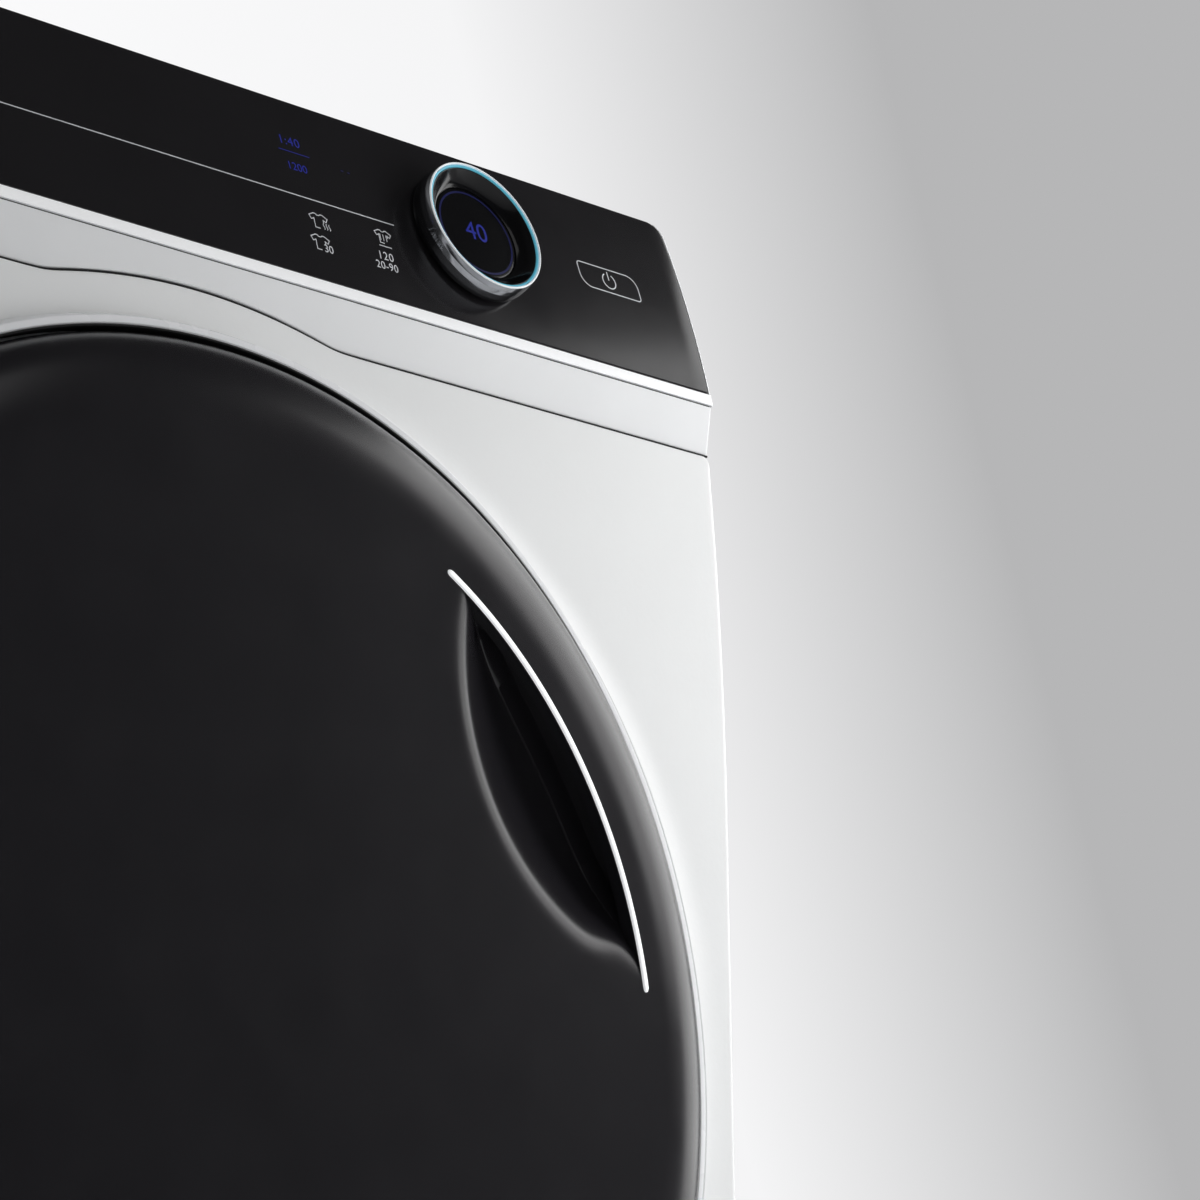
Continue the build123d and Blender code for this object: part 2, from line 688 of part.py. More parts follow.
def round_corner(side):
    """Front outline that rounds the console's top corner off at one side."""
    height = CONSOLE_TOP_Z - SEAM_Z + 20
    reach = WIDTH + 20
    middle = (side * (WIDTH - reach) / 2, CONSOLE_TOP_Z - height / 2)
    with BuildPart() as outline:
        with BuildSketch(FRONT.offset(CROWN + 10)) as front_view:
            with Locations(middle):
                Rectangle(reach, height)
            corner = front_view.vertices().group_by(Axis.Y)[-1].sort_by(Axis.X)
            fillet(corner[-1] if side > 0 else corner[0], FACE_CORNER_R)
        extrude(amount=-DEEP)
    return outline.part


KNOB_Z = FACE_BOTTOM_Z + KNOB_ABOVE_FACE
KNOB_FOOT = at(KNOB_X, face_point(KNOB_Z)[0], KNOB_Z)
KNOB_UP = (0, -math.cos(math.radians(KNOB_TILT)), math.sin(math.radians(KNOB_TILT)))
KNOB_ACROSS = (0, -math.sin(math.radians(KNOB_TILT)), -math.cos(math.radians(KNOB_TILT)))
KNOB_BASE = Plane(origin=KNOB_FOOT, x_dir=(1, 0, 0), z_dir=KNOB_UP)
KNOB_SIDE = Plane(origin=KNOB_FOOT, x_dir=(1, 0, 0), z_dir=KNOB_ACROSS)
KNOB_AXIS = Axis(KNOB_FOOT, KNOB_UP)
BOARD_DROP = 9


def knob_turned(points):
    """Solid of revolution about the knob's axis from (radius, height) points."""
    with BuildPart() as body:
        with BuildSketch(KNOB_SIDE):
            with BuildLine():
                Polyline(*points, close=True)
            make_face()
        revolve(axis=KNOB_AXIS)
    return body.part


knob_hole_r = KNOB_POST_R + PART_GAP
knob_bore = knob_turned([(0, -40), (knob_hole_r, -40), (knob_hole_r, 40), (0, 40)])

with BuildPart() as console_housing:
    add(console_channel(DRAWER_EDGE + PART_GAP, WIDTH / 2))
    add(round_corner(1), mode=Mode.INTERSECT)
    add(
        turned([(-5, 0), (-5, BUMP_R + SEAM_GAP), (CONSOLE_BACK + 5, BUMP_R + SEAM_GAP),
                (CONSOLE_BACK + 5, 0)]),
        mode=Mode.SUBTRACT,
    )
    add(knob_bore, mode=Mode.SUBTRACT)
console_housing.part.label = "console_housing"
export_step(console_housing.part, "parts/console_housing.step")

with BuildPart() as control_panel:
    add(face_plate(DRAWER_EDGE + PART_GAP, WIDTH / 2 - PART_GAP))
    add(round_corner(1), mode=Mode.INTERSECT)
    add(knob_bore, mode=Mode.SUBTRACT)
control_panel.part.label = "control_panel"
export_step(control_panel.part, "parts/control_panel.step")

# Display board: flat, square to the chord of the face, just behind the channel's wall

CHORD_TILT = math.atan2(FACE_TOP_DEPTH - FACE_BOTTOM_DEPTH, FACE_HEIGHT)
BOARD_WIDTH = 210
BOARD_HEIGHT = 56
BOARD_T = 1.6
BOARD_X = 10
board_mid = (FACE_BOTTOM_Z + CONSOLE_TOP_Z) / 2 - 2
board_behind = FACE_SEAT + CONSOLE_WALL + PART_GAP + BOARD_HEIGHT**2 / FACE_R / 8
board_face = face_point(board_mid, 0)
board_in = (math.cos(CHORD_TILT), -math.sin(CHORD_TILT))
BOARD_PLANE = Plane(
    origin=at(
        BOARD_X,
        board_face[0] + board_in[0] * board_behind,
        board_face[1] + board_in[1] * board_behind,
    ),
    x_dir=(1, 0, 0),
    z_dir=(0, -board_in[0], -board_in[1]),
)

with BuildPart() as display_board:
    with BuildSketch(BOARD_PLANE):
        Rectangle(BOARD_WIDTH, BOARD_HEIGHT)
    extrude(amount=-BOARD_T)
    with BuildSketch(BOARD_PLANE.offset(-BOARD_T)):
        with Locations((-60, 0), (-10, 8), (-30, -14)):
            Rectangle(26, 18)
    extrude(amount=-5)
display_board.part.label = "display_board"
export_step(display_board.part, "parts/display_board.step")

with BuildPart() as knob_sleeve:
    inner_r = KNOB_R - KNOB_WALL
    web_r = KNOB_POST_R + KNOB_CLEARANCE
    add(
        knob_turned(
            [
                (KNOB_BASE_R, KNOB_LIFT),
                (KNOB_R, KNOB_TOP),
                (inner_r, KNOB_TOP),
                (inner_r, KNOB_WEB_H + KNOB_WEB),
                (web_r, KNOB_WEB_H + KNOB_WEB),
                (web_r, KNOB_WEB_H),
                (KNOB_BASE_R - KNOB_WALL, KNOB_WEB_H),
                (KNOB_BASE_R - KNOB_WALL, KNOB_LIFT),
            ]
        )
    )
knob_sleeve.part.label = "knob_sleeve"
export_step(knob_sleeve.part, "parts/knob_sleeve.step")

with BuildPart() as knob_rim:
    rim_top = KNOB_TOP + KNOB_RIM_H
    with BuildSketch(KNOB_SIDE):
        with BuildLine():
            Polyline((inner_r, KNOB_TOP), (KNOB_R, KNOB_TOP), (KNOB_R, rim_top - 1))
            ThreePointArc((KNOB_R, rim_top - 1), (KNOB_R - 0.35, rim_top - 0.3), (KNOB_R - 1.2, rim_top))
            Polyline((KNOB_R - 1.2, rim_top), (inner_r, rim_top - 1.3), (inner_r, KNOB_TOP))
        make_face()
    revolve(axis=KNOB_AXIS)
knob_rim.part.label = "knob_rim"
export_step(knob_rim.part, "parts/knob_rim.step")

with BuildPart() as knob_dish:
    dish_r = inner_r - KNOB_CLEARANCE
    under = KNOB_WEB_H + KNOB_WEB + KNOB_CLEARANCE
    post_foot = -BOARD_DROP + PART_GAP
    with BuildSketch(KNOB_SIDE):
        with BuildLine():
            Polyline(
                (0, post_foot),
                (KNOB_POST_R, post_foot),
                (KNOB_POST_R, under),
                (dish_r, under),
                (dish_r, KNOB_TOP),
                (dish_r - 0.7, KNOB_TOP + 0.1),
            )
            ThreePointArc(
                (dish_r - 0.7, KNOB_TOP + 0.1),
                (dish_r - 3, DISPLAY_H + DISPLAY_T + 1.5),
                (DISPLAY_R + PART_GAP, DISPLAY_H + DISPLAY_T),
            )
            Polyline(
                (DISPLAY_R + PART_GAP, DISPLAY_H + DISPLAY_T),
                (DISPLAY_R + PART_GAP, DISPLAY_H),
                (0, DISPLAY_H),
                (0, post_foot),
            )
        make_face()
    revolve(axis=KNOB_AXIS)
knob_dish.part.label = "knob_dish"
export_step(knob_dish.part, "parts/knob_dish.step")

with BuildPart() as knob_display:
    with BuildSketch(KNOB_BASE.offset(DISPLAY_H)):
        Circle(DISPLAY_R)
    extrude(amount=DISPLAY_T)
    fillet(knob_display.edges().filter_by(GeomType.CIRCLE).sort_by(Axis.Y)[0], 0.4)
knob_display.part.label = "knob_display"
export_step(knob_display.part, "parts/knob_display.step")

# Detergent drawer: its front carries on the console, and its tray slides in a housing

HOUSING_X = (-WIDTH / 2 + SHEET + HOUSING_SIDE, DRAWER_EDGE - 3)
HOUSING_FRONT = CONSOLE_BACK + PART_GAP
HOUSING_Z = (SEAM_Z + 9, WORKTOP_Z - 1)
TRAY_X = (
    HOUSING_X[0] + HOUSING_WALL + TRAY_SIDE_GAP,
    HOUSING_X[1] - HOUSING_WALL - TRAY_SIDE_GAP,
)
TRAY_Z = HOUSING_Z[0] + HOUSING_WALL + TRAY_SIDE_GAP
HOUSING_BACK = CONSOLE_BACK + TRAY_DEPTH + 12
TRAY_MIDDLE = (TRAY_X[0] + TRAY_X[1]) / 2
MAIN_WASH_X = TRAY_X[0] + 96
SOFTENER_X = TRAY_X[1] - 32
FLAP_AXIS_DEPTH = CONSOLE_BACK + TRAY_DEPTH / 2
FLAP_AXIS_Z = TRAY_Z + TRAY_HEIGHT - 8

with BuildPart() as drawer_front:
    add(console_channel(-WIDTH / 2, DRAWER_EDGE - PART_GAP))
    add(round_corner(-1), mode=Mode.INTERSECT)
    with BuildSketch(FRONT):
        with Locations((TRAY_MIDDLE, SEAM_Z + CONSOLE_WALL + GRIP_HEIGHT / 2)):
            RectangleRounded(GRIP_WIDTH, GRIP_HEIGHT, 3)
    extrude(amount=-(BAND_DEPTH + CONSOLE_WALL + 2), mode=Mode.SUBTRACT)
    back_depths = (CONSOLE_BACK - 2, CONSOLE_BACK)
    add(block((-WIDTH / 2 + 1, DRAWER_EDGE - 1), back_depths, (SEAM_Z + 22, CONSOLE_TOP_Z - 2)))
drawer_front.part.label = "drawer_front"
export_step(drawer_front.part, "parts/drawer_front.step")

with BuildPart() as drawer_panel:
    add(face_plate(-WIDTH / 2 + PART_GAP, DRAWER_EDGE - PART_GAP))
    add(round_corner(-1), mode=Mode.INTERSECT)
drawer_panel.part.label = "drawer_panel"
export_step(drawer_panel.part, "parts/drawer_panel.step")

with BuildPart() as drawer_tray:
    tray_depths = (CONSOLE_BACK, CONSOLE_BACK + TRAY_DEPTH)
    inner_depths = (tray_depths[0] + TRAY_WALL, tray_depths[1] - TRAY_WALL)
    over = (TRAY_Z + TRAY_WALL, TRAY_Z + TRAY_HEIGHT + 1)
    add(block(TRAY_X, tray_depths, (TRAY_Z, TRAY_Z + TRAY_HEIGHT)))
    cells = [
        (TRAY_X[0] + TRAY_WALL, MAIN_WASH_X - TRAY_WALL),
        (MAIN_WASH_X, SOFTENER_X - TRAY_WALL),
        (SOFTENER_X, TRAY_X[1] - TRAY_WALL),
    ]
    for cell in cells:
        add(block(cell, inner_depths, over), mode=Mode.SUBTRACT)
    fillet(drawer_tray.edges().filter_by(Axis.Z).group_by(Axis.Y)[-1], 1.5)
    for side in cells[0]:
        inward = 1 if side == cells[0][0] else -1
        pin_x = sorted((side, side + 3 * inward))
        with BuildSketch(SIDE.offset(pin_x[0])):
            with Locations((FLAP_AXIS_DEPTH, FLAP_AXIS_Z)):
                Circle(1.5)
        extrude(amount=pin_x[1] - pin_x[0])
drawer_tray.part.label = "drawer_tray"
export_step(drawer_tray.part, "parts/drawer_tray.step")

with BuildPart() as liquid_flap:
    flap_low = cells[0][0] + 0.5
    flap_high = cells[0][1] - 0.5
    flap_width = flap_high - flap_low
    with BuildSketch(SIDE.offset(flap_low)):
        with Locations((FLAP_AXIS_DEPTH, FLAP_AXIS_Z)):
            Circle(3)
        with Locations((FLAP_AXIS_DEPTH, FLAP_AXIS_Z - 19)):
            Rectangle(2, 36)
    extrude(amount=flap_width)
    with BuildSketch(SIDE.offset(flap_low)):
        with Locations((FLAP_AXIS_DEPTH, FLAP_AXIS_Z)):
            Circle(1.55)
    extrude(amount=flap_width, mode=Mode.SUBTRACT)
liquid_flap.part.label = "liquid_flap"
export_step(liquid_flap.part, "parts/liquid_flap.step")

with BuildPart() as dispenser_housing:
    add(block(HOUSING_X, (HOUSING_FRONT, HOUSING_BACK), HOUSING_Z))
    add(
        block(
            (HOUSING_X[0] + HOUSING_WALL, HOUSING_X[1] - HOUSING_WALL),
            (HOUSING_FRONT - 1, HOUSING_BACK - HOUSING_WALL),
            (HOUSING_Z[0] + HOUSING_WALL, HOUSING_Z[1] - HOUSING_WALL),
        ),
        mode=Mode.SUBTRACT,
    )
    with BuildSketch(TOP.offset(HOUSING_Z[0])):
        with Locations((TRAY_MIDDLE, HOUSING_BACK - 40)):
            Circle(14)
    extrude(amount=-16)
    with BuildSketch(TOP.offset(HOUSING_Z[0] + HOUSING_WALL)):
        with Locations((TRAY_MIDDLE, HOUSING_BACK - 40)):
            Circle(12)
    extrude(amount=-40, mode=Mode.SUBTRACT)
dispenser_housing.part.label = "dispenser_housing"
export_step(dispenser_housing.part, "parts/dispenser_housing.step")

# Water inlet at the rear, with its thread outside the cabinet

REAR_INSIDE = CABINET_DEPTH - SHEET
THREAD_END = CABINET_DEPTH + FITTING_PROUD

with BuildPart() as inlet_valve:
    with BuildSketch(FRONT.offset(-REAR_INSIDE + 5)):
        with Locations((VALVE_X, VALVE_Z)):
            RectangleRounded(44, 44, 4)
    extrude(amount=-5)
    with BuildSketch(FRONT.offset(-REAR_INSIDE)):
        with Locations((VALVE_X, VALVE_Z)):
            Circle(THREAD_R)
    extrude(amount=-(THREAD_END - REAR_INSIDE))
    with BuildSketch(FRONT.offset(-THREAD_END)):
        with Locations((VALVE_X, VALVE_Z)):
            Circle(THREAD_R - 4)
    extrude(amount=18, mode=Mode.SUBTRACT)
    with BuildSketch(FRONT.offset(-REAR_INSIDE + 5)):
        with Locations((VALVE_X, VALVE_Z)):
            Circle(13)
        with Locations((VALVE_X, VALVE_Z + 4)):
            Rectangle(26, 30)
    extrude(amount=44)
inlet_valve.part.label = "inlet_valve"
export_step(inlet_valve.part, "parts/inlet_valve.step")

# Door cover: rolled dome with the scooped pull. The scoop is a bowl turned about its own axis and
# cut off at the strip, and its far wall runs in under the strip to give the fingers room

ROLL_END = -CROWN + DOME_SAG + ROLL_DEPTH
ROLL_START_R = DOOR_R - ROLL_WIDTH
SCOOP_X = SCOOP_REACH * math.cos(math.radians(SCOOP_ANGLE))
SCOOP_Z = DOOR_Z + SCOOP_REACH * math.sin(math.radians(SCOOP_ANGLE))
SCOOP_SIDE = Plane(origin=at(SCOOP_X, 0, SCOOP_Z), x_dir=(0, 1, 0), z_dir=(1, 0, 0))
SCOOP_AXIS = Axis(at(SCOOP_X, 0, SCOOP_Z), (0, 1, 0))


def dome_depth(radius):
    """Depth of the door's domed face at a radius."""
    return -CROWN + DOME_SAG * (radius / ROLL_START_R) ** 2


def door_pillow(inset, back):
    """Solid of the door's dome and rolled edge, moved inwards by inset."""
    with BuildPart() as pillow:
        with BuildSketch(AXLE):
            with BuildLine():
                dome = ThreePointArc(
                    (dome_depth(0) + inset, 0),
                    (dome_depth(ROLL_START_R / 2) + inset, ROLL_START_R / 2),
                    (dome_depth(ROLL_START_R) + inset, ROLL_START_R),
                )
                EllipticalCenterArc(
                    (ROLL_END, ROLL_START_R),
                    ROLL_DEPTH - inset,
                    ROLL_WIDTH - inset,
                    start_angle=90,
                    arc_size=90,
                )
                Polyline((ROLL_END, DOOR_R - inset), (back, DOOR_R - inset), (back, 0), dome @ 0)
            make_face()
        revolve(axis=DRUM_AXIS)
    return pillow.part


def scoop(grow):
    """Bowl of the pull, grown outwards by the wall that forms its back."""
    floor = SCOOP_FLOOR + grow
    edge_depth = dome_depth(SCOOP_REACH - SCOOP_R) - 0.2
    wall_r = SCOOP_R + grow
    with BuildPart() as bowl:
        with BuildSketch(SCOOP_SIDE):
            with BuildLine():
                Polyline(
                    (-CROWN - 10, 0),
                    (-CROWN - 10, wall_r + SCOOP_LIP),
                    (edge_depth, wall_r + SCOOP_LIP),
                )
                lip = ThreePointArc(
                    (edge_depth, wall_r + SCOOP_LIP),
                    (edge_depth + SCOOP_LIP * 0.3, wall_r),
                    (edge_depth + SCOOP_LIP, wall_r - SCOOP_LIP * 0.85),
                )
                slope_end = (floor - 4, SCOOP_FLOOR_R + grow + 6)
                Line(lip @ 1, slope_end)
                ThreePointArc(
                    slope_end, (floor - 1.2, SCOOP_FLOOR_R + grow + 3), (floor, SCOOP_FLOOR_R + grow - 2)
                )
                Polyline((floor, SCOOP_FLOOR_R + grow - 2), (floor, 0), (-CROWN - 10, 0))
            make_face()
        revolve(axis=SCOOP_AXIS)
        with BuildSketch(DISC.offset(DEEP / 2)):
            Circle(STRIP_R + grow)
        extrude(amount=-DEEP, mode=Mode.INTERSECT)
        reach = (FINGER_ANGLES[1] - FINGER_ANGLES[0]) + grow
        with BuildSketch(radial_plane(FINGER_ANGLES[1] + grow / 2)):
            with BuildLine():
                Polyline(
                    (SCOOP_FLOOR - FINGER_DEPTH - grow, STRIP_R - 4),
                    (SCOOP_FLOOR - FINGER_DEPTH - grow, STRIP_R + FINGER_ROOM - 3),
                    (SCOOP_FLOOR - FINGER_DEPTH + 4 - grow, STRIP_R + FINGER_ROOM + grow),
                    (floor - 1.5, STRIP_R + FINGER_ROOM + grow),
                    (floor - 1.5, STRIP_R - 4),
                    close=True,
                )
            make_face()
        revolve(axis=DRUM_AXIS, revolution_arc=reach)
    return bowl.part


def strip_solid(grow):
    """The bright strip, or the groove for it."""
    low = STRIP_R - grow
    high = STRIP_R + STRIP_WIDTH + grow
    front = dome_depth(STRIP_R) - STRIP_PROUD
    back = front + STRIP_SEAT + grow
    with BuildPart() as strip:
        with BuildSketch(radial_plane(STRIP_ANGLES[1] + grow / 4)):
            with BuildLine():
                Polyline((front + 0.7, low), (back, low), (back, high), (front + 0.7, high))
                ThreePointArc((front + 0.7, high), (front, (low + high) / 2), (front + 0.7, low))
            make_face()
        revolve(axis=DRUM_AXIS, revolution_arc=STRIP_ANGLES[1] - STRIP_ANGLES[0] + grow / 2)
    return strip.part


hinge_notches = [
    block(
        (-DOOR_R - 5, HINGE_X + KNUCKLE_R + 7),
        (HINGE_DEPTH - KNUCKLE_R - 0.7, DOOR_BACK + 5),
        (level - KNUCKLE_H - 1, level + KNUCKLE_H + 1),
    )
    for level in hinge_levels()
]

with BuildPart() as door_hollow:
    add(door_pillow(DOOR_WALL, DOOR_BACK + 1))
    add(scoop(DOOR_WALL), mode=Mode.SUBTRACT)

with BuildPart() as door_cover:
    add(door_pillow(0, DOOR_BACK))
    add(door_hollow.part, mode=Mode.SUBTRACT)
    add(scoop(0), mode=Mode.SUBTRACT)
    add(strip_solid(0.1), mode=Mode.SUBTRACT)
    for notch in hinge_notches:
        add(notch, mode=Mode.SUBTRACT)
door_cover.part.label = "door_cover"
export_step(door_cover.part, "parts/door_cover.step")

with BuildPart() as door_strip:
    add(strip_solid(0))
door_strip.part.label = "door_strip"
export_step(door_strip.part, "parts/door_strip.step")

# Door frame: the white ring behind the cover, which clamps the glass bowl

FRAME_FRONT = DOOR_BACK
FRAME_BACK = FRAME_FRONT + FRAME_RIM
BOWL_FLANGE_FRONT = FRAME_FRONT - GLASS_T

with BuildPart() as door_frame:
    add(
        turned(
            [
                (FRAME_FRONT, FRAME_R),
                (FRAME_FRONT + FRAME_T, FRAME_R),
                (FRAME_BACK, FRAME_R - 8),
                (FRAME_BACK, FRAME_R - 12),
                (FRAME_FRONT + FRAME_T, FRAME_R - 14),
                (FRAME_FRONT + FRAME_T, BOWL_FLANGE_R + 6),
                (FRAME_BACK, BOWL_FLANGE_R + 3),
                (FRAME_BACK, BOWL_MOUTH_R + 3),
                (FRAME_FRONT, BOWL_MOUTH_R + 3),
                (FRAME_FRONT, BOWL_FLANGE_R + PART_GAP),
                (BOWL_FLANGE_FRONT, BOWL_FLANGE_R + PART_GAP),
                (BOWL_FLANGE_FRONT, BOWL_FLANGE_R + 3),
                (FRAME_FRONT, BOWL_FLANGE_R + 3),
            ]
        )
    )
    window_x = (HOOK_X - HOOK_T, HOOK_X + HOOK_T)
    window_z = (DOOR_Z - HOOK_H / 2 - 0.5, DOOR_Z + HOOK_H / 2 + 0.5)
    add(block(window_x, (FRAME_FRONT - 1, FRAME_BACK + 1), window_z), mode=Mode.SUBTRACT)
    for level in (window_z[0] - 4, window_z[1]):
        lug_x = (HOOK_X - 5, HOOK_X + 5)
        add(block(lug_x, (FRAME_FRONT, FRAME_BACK), (level, level + 4)))
    with BuildSketch(Plane(origin=at(HOOK_X, FRAME_FRONT + FRAME_RIM / 2, window_z[0] - 5))):
        Circle(HOOK_STUD_R + 0.02)
    extrude(amount=window_z[1] - window_z[0] + 10, mode=Mode.SUBTRACT)
    for notch in hinge_notches:
        add(notch, mode=Mode.SUBTRACT)
door_frame.part.label = "door_frame"
export_step(door_frame.part, "parts/door_frame.step")


def bowl_radius(depth):
    """Outer radius of the glass bowl's cone at a depth."""
    share = (depth - FRAME_FRONT) / (BOWL_DEPTH - FRAME_FRONT)
    return BOWL_MOUTH_R + share * (BOWL_END_R - BOWL_MOUTH_R)


BOWL_CAP_R = (BOWL_END_R**2 + BOWL_DOME**2) / 2 / BOWL_DOME


def cap_point(radius, inset=0):
    """Point on the bowl's domed end at a radius, or that far inside the glass."""
    centre = BOWL_DEPTH + BOWL_DOME - BOWL_CAP_R
    return (centre + math.sqrt((BOWL_CAP_R - inset) ** 2 - radius**2), radius)


with BuildPart() as door_glass:
    end_r = BOWL_END_R
    inner_end_r = BOWL_END_R - GLASS_T
    with BuildSketch(AXLE):
        with BuildLine():
            Polyline(
                (BOWL_FLANGE_FRONT, BOWL_MOUTH_R - GLASS_T),
                (BOWL_FLANGE_FRONT, BOWL_FLANGE_R),
                (FRAME_FRONT, BOWL_FLANGE_R),
                (FRAME_FRONT, BOWL_MOUTH_R),
                cap_point(end_r),
            )
            ThreePointArc(cap_point(end_r), cap_point(end_r / 2), cap_point(0))
            Line(cap_point(0), cap_point(0, GLASS_T))
            ThreePointArc(
                cap_point(0, GLASS_T),
                cap_point(inner_end_r / 2, GLASS_T),
                cap_point(inner_end_r, GLASS_T),
            )
            Line(cap_point(inner_end_r, GLASS_T), (BOWL_FLANGE_FRONT, BOWL_MOUTH_R - GLASS_T))
        make_face()
    revolve(axis=DRUM_AXIS)
door_glass.part.label = "door_glass"
export_step(door_glass.part, "parts/door_glass.step")

# Hinge: two knuckles on the cabinet's bracket under two on the door's arms

BRACKET_FRONT = COLLAR_BACK + SURROUND_WALL + PART_GAP
BRACKET_T = 3
EYE_R = PIN_R + RUNNING_FIT


def knuckle(bottom, radius, height):
    """Upright cylinder on the hinge's axis."""
    with BuildPart() as body:
        with BuildSketch(Plane(origin=at(HINGE_X, HINGE_DEPTH, bottom))):
            Circle(radius)
        extrude(amount=height)
    return body.part


with BuildPart() as hinge_bracket:
    plate_x = (-WIDTH / 2 + SHEET + PLINTH_WALL, -COLLAR_R - SURROUND_WALL - 2 * PART_GAP)
    plate_z = (DOOR_Z - HINGE_SPAN - 20, DOOR_Z + HINGE_SPAN + 20)
    add(block(plate_x, (BRACKET_FRONT, BRACKET_FRONT + BRACKET_T), plate_z))
    for level in hinge_levels():
        low = level - KNUCKLE_H
        with BuildSketch(TOP.offset(low)):
            with BuildLine():
                Polyline(
                    (HINGE_X - KNUCKLE_R, HINGE_DEPTH),
                    (HINGE_X - KNUCKLE_R, 3),
                    (plate_x[1] - 8, BRACKET_FRONT),
                    (plate_x[1], BRACKET_FRONT),
                    (HINGE_X - 0.5, 3),
                    (HINGE_X, HINGE_DEPTH + KNUCKLE_R),
                    close=True,
                )
            make_face()
        extrude(amount=KNUCKLE_H)
        add(knuckle(low, KNUCKLE_R, KNUCKLE_H))
        add(knuckle(low - 1, PIN_R + 0.02, KNUCKLE_H + 2), mode=Mode.SUBTRACT)
hinge_bracket.part.label = "hinge_bracket"
export_step(hinge_bracket.part, "parts/hinge_bracket.step")

with BuildPart() as hinge_arms:
    for level in hinge_levels():
        low = level + PART_GAP
        with BuildSketch(TOP.offset(low)):
            with BuildLine():
                Polyline(
                    (HINGE_X, HINGE_DEPTH - 2.5),
                    (HINGE_X + 14, HINGE_DEPTH - 2.5),
                    (HINGE_X + 40, FRAME_FRONT - 3),
                    (HINGE_X + 70, FRAME_FRONT - 3),
                    (HINGE_X + 70, FRAME_FRONT),
                    (HINGE_X + 30, FRAME_FRONT),
                    (HINGE_X, HINGE_DEPTH + 3),
                    close=True,
                )
            make_face()
        extrude(amount=KNUCKLE_H)
        add(knuckle(low, KNUCKLE_R, KNUCKLE_H))
        add(knuckle(low - 1, EYE_R, KNUCKLE_H + 2), mode=Mode.SUBTRACT)
hinge_arms.part.label = "hinge_arms"
export_step(hinge_arms.part, "parts/hinge_arms.step")

with BuildPart() as hinge_pins:
    for level in hinge_levels():
        add(knuckle(level - KNUCKLE_H, PIN_R, 2 * KNUCKLE_H))
hinge_pins.part.label = "hinge_pins"
export_step(hinge_pins.part, "parts/hinge_pins.step")

# Latch: a hook on upright studs in the door frame, and the lock behind the surround

HOOK_PIVOT = FRAME_FRONT + FRAME_RIM / 2
HOOK_LOW = DOOR_Z - HOOK_H / 2
LOCK_FRONT = DISH_DEPTH + SURROUND_WALL + PART_GAP
HOOK_TIP = HOOK_PIVOT + HOOK_LENGTH

with BuildPart() as door_hook:
    with BuildSketch(TOP.offset(HOOK_LOW)):
        with Locations((HOOK_X, HOOK_PIVOT)):
            Circle(3)
        with BuildLine():
            Polyline(
                (HOOK_X - 2.5, HOOK_PIVOT),
                (HOOK_X - 2.5, HOOK_TIP),
                (HOOK_X + 1, HOOK_TIP + 2),
                (HOOK_X + 6, HOOK_TIP - 4),
                (HOOK_X + 6, HOOK_TIP - 6),
                (HOOK_X + 2.5, HOOK_TIP - 6),
                (HOOK_X + 2.5, HOOK_PIVOT),
                close=True,
            )
        make_face()
    extrude(amount=HOOK_H)
    with BuildSketch(TOP.offset(window_z[0] - 3.5)):
        with Locations((HOOK_X, HOOK_PIVOT)):
            Circle(HOOK_STUD_R)
    extrude(amount=window_z[1] - window_z[0] + 7)
door_hook.part.label = "door_hook"
export_step(door_hook.part, "parts/door_hook.step")

with BuildPart() as door_lock:
    lock_x = (slot_x[0] - 4, slot_x[1] + 12)
    lock_z = (slot_z[0] - 20, slot_z[1] + 20)
    lock_depths = (LOCK_FRONT, HOOK_TIP + 10)
    add(block(lock_x, lock_depths, lock_z))
    add(block(slot_x, (LOCK_FRONT - 1, HOOK_TIP + 5), slot_z), mode=Mode.SUBTRACT)
door_lock.part.label = "door_lock"
export_step(door_lock.part, "parts/door_lock.step")

# Gasket: bellows between the surround's flange and the tub's neck, with a lip against the bowl

FLANGE_END = DISH_DEPTH + SURROUND_WALL + OPENING_FLANGE
BEAD_R = OPENING_R + PART_GAP + GASKET_T
LIP_DEPTH_IN = FLANGE_END + 4
NECK_SEAT = NECK_R + TUB_WALL + PART_GAP

with BuildPart() as door_gasket:
    lip_r = bowl_radius(LIP_DEPTH_IN) + LIP_TOUCH
    fold_out = BEAD_R + 8
    fold_in = NECK_R - 12
    span = NECK_FRONT - FLANGE_END
    add(
        turned(
            [
                (DISH_DEPTH + SURROUND_WALL + PART_GAP, OPENING_R + PART_GAP),
                (DISH_DEPTH + SURROUND_WALL + PART_GAP, BEAD_R),
                (FLANGE_END + 3, BEAD_R),
                (FLANGE_END + 5, fold_out),
                (FLANGE_END + 0.42 * span, fold_out),
                (FLANGE_END + 0.5 * span, fold_in + GASKET_T),
                (FLANGE_END + 0.66 * span, fold_in + GASKET_T),
                (FLANGE_END + 0.76 * span, NECK_SEAT + GASKET_T),
                (NECK_FRONT + 10, NECK_SEAT + GASKET_T),
                (NECK_FRONT + 10, NECK_SEAT),
                (NECK_FRONT - PART_GAP, NECK_SEAT),
                (NECK_FRONT - PART_GAP, NECK_R),
                (FLANGE_END + 0.85 * span, NECK_R),
                (FLANGE_END + 0.72 * span, fold_in),
                (FLANGE_END + 0.42 * span, fold_in),
                (FLANGE_END + 0.34 * span, fold_out - GASKET_T),
                (FLANGE_END + 8, fold_out - GASKET_T),
                (FLANGE_END + 5, OPENING_R - 2),
                (LIP_DEPTH_IN + 2, lip_r),
                (LIP_DEPTH_IN - 1, lip_r + 1),
                (FLANGE_END + PART_GAP, OPENING_R - 4),
                (FLANGE_END + PART_GAP, OPENING_R + PART_GAP),
            ]
        )
    )
door_gasket.part.label = "door_gasket"
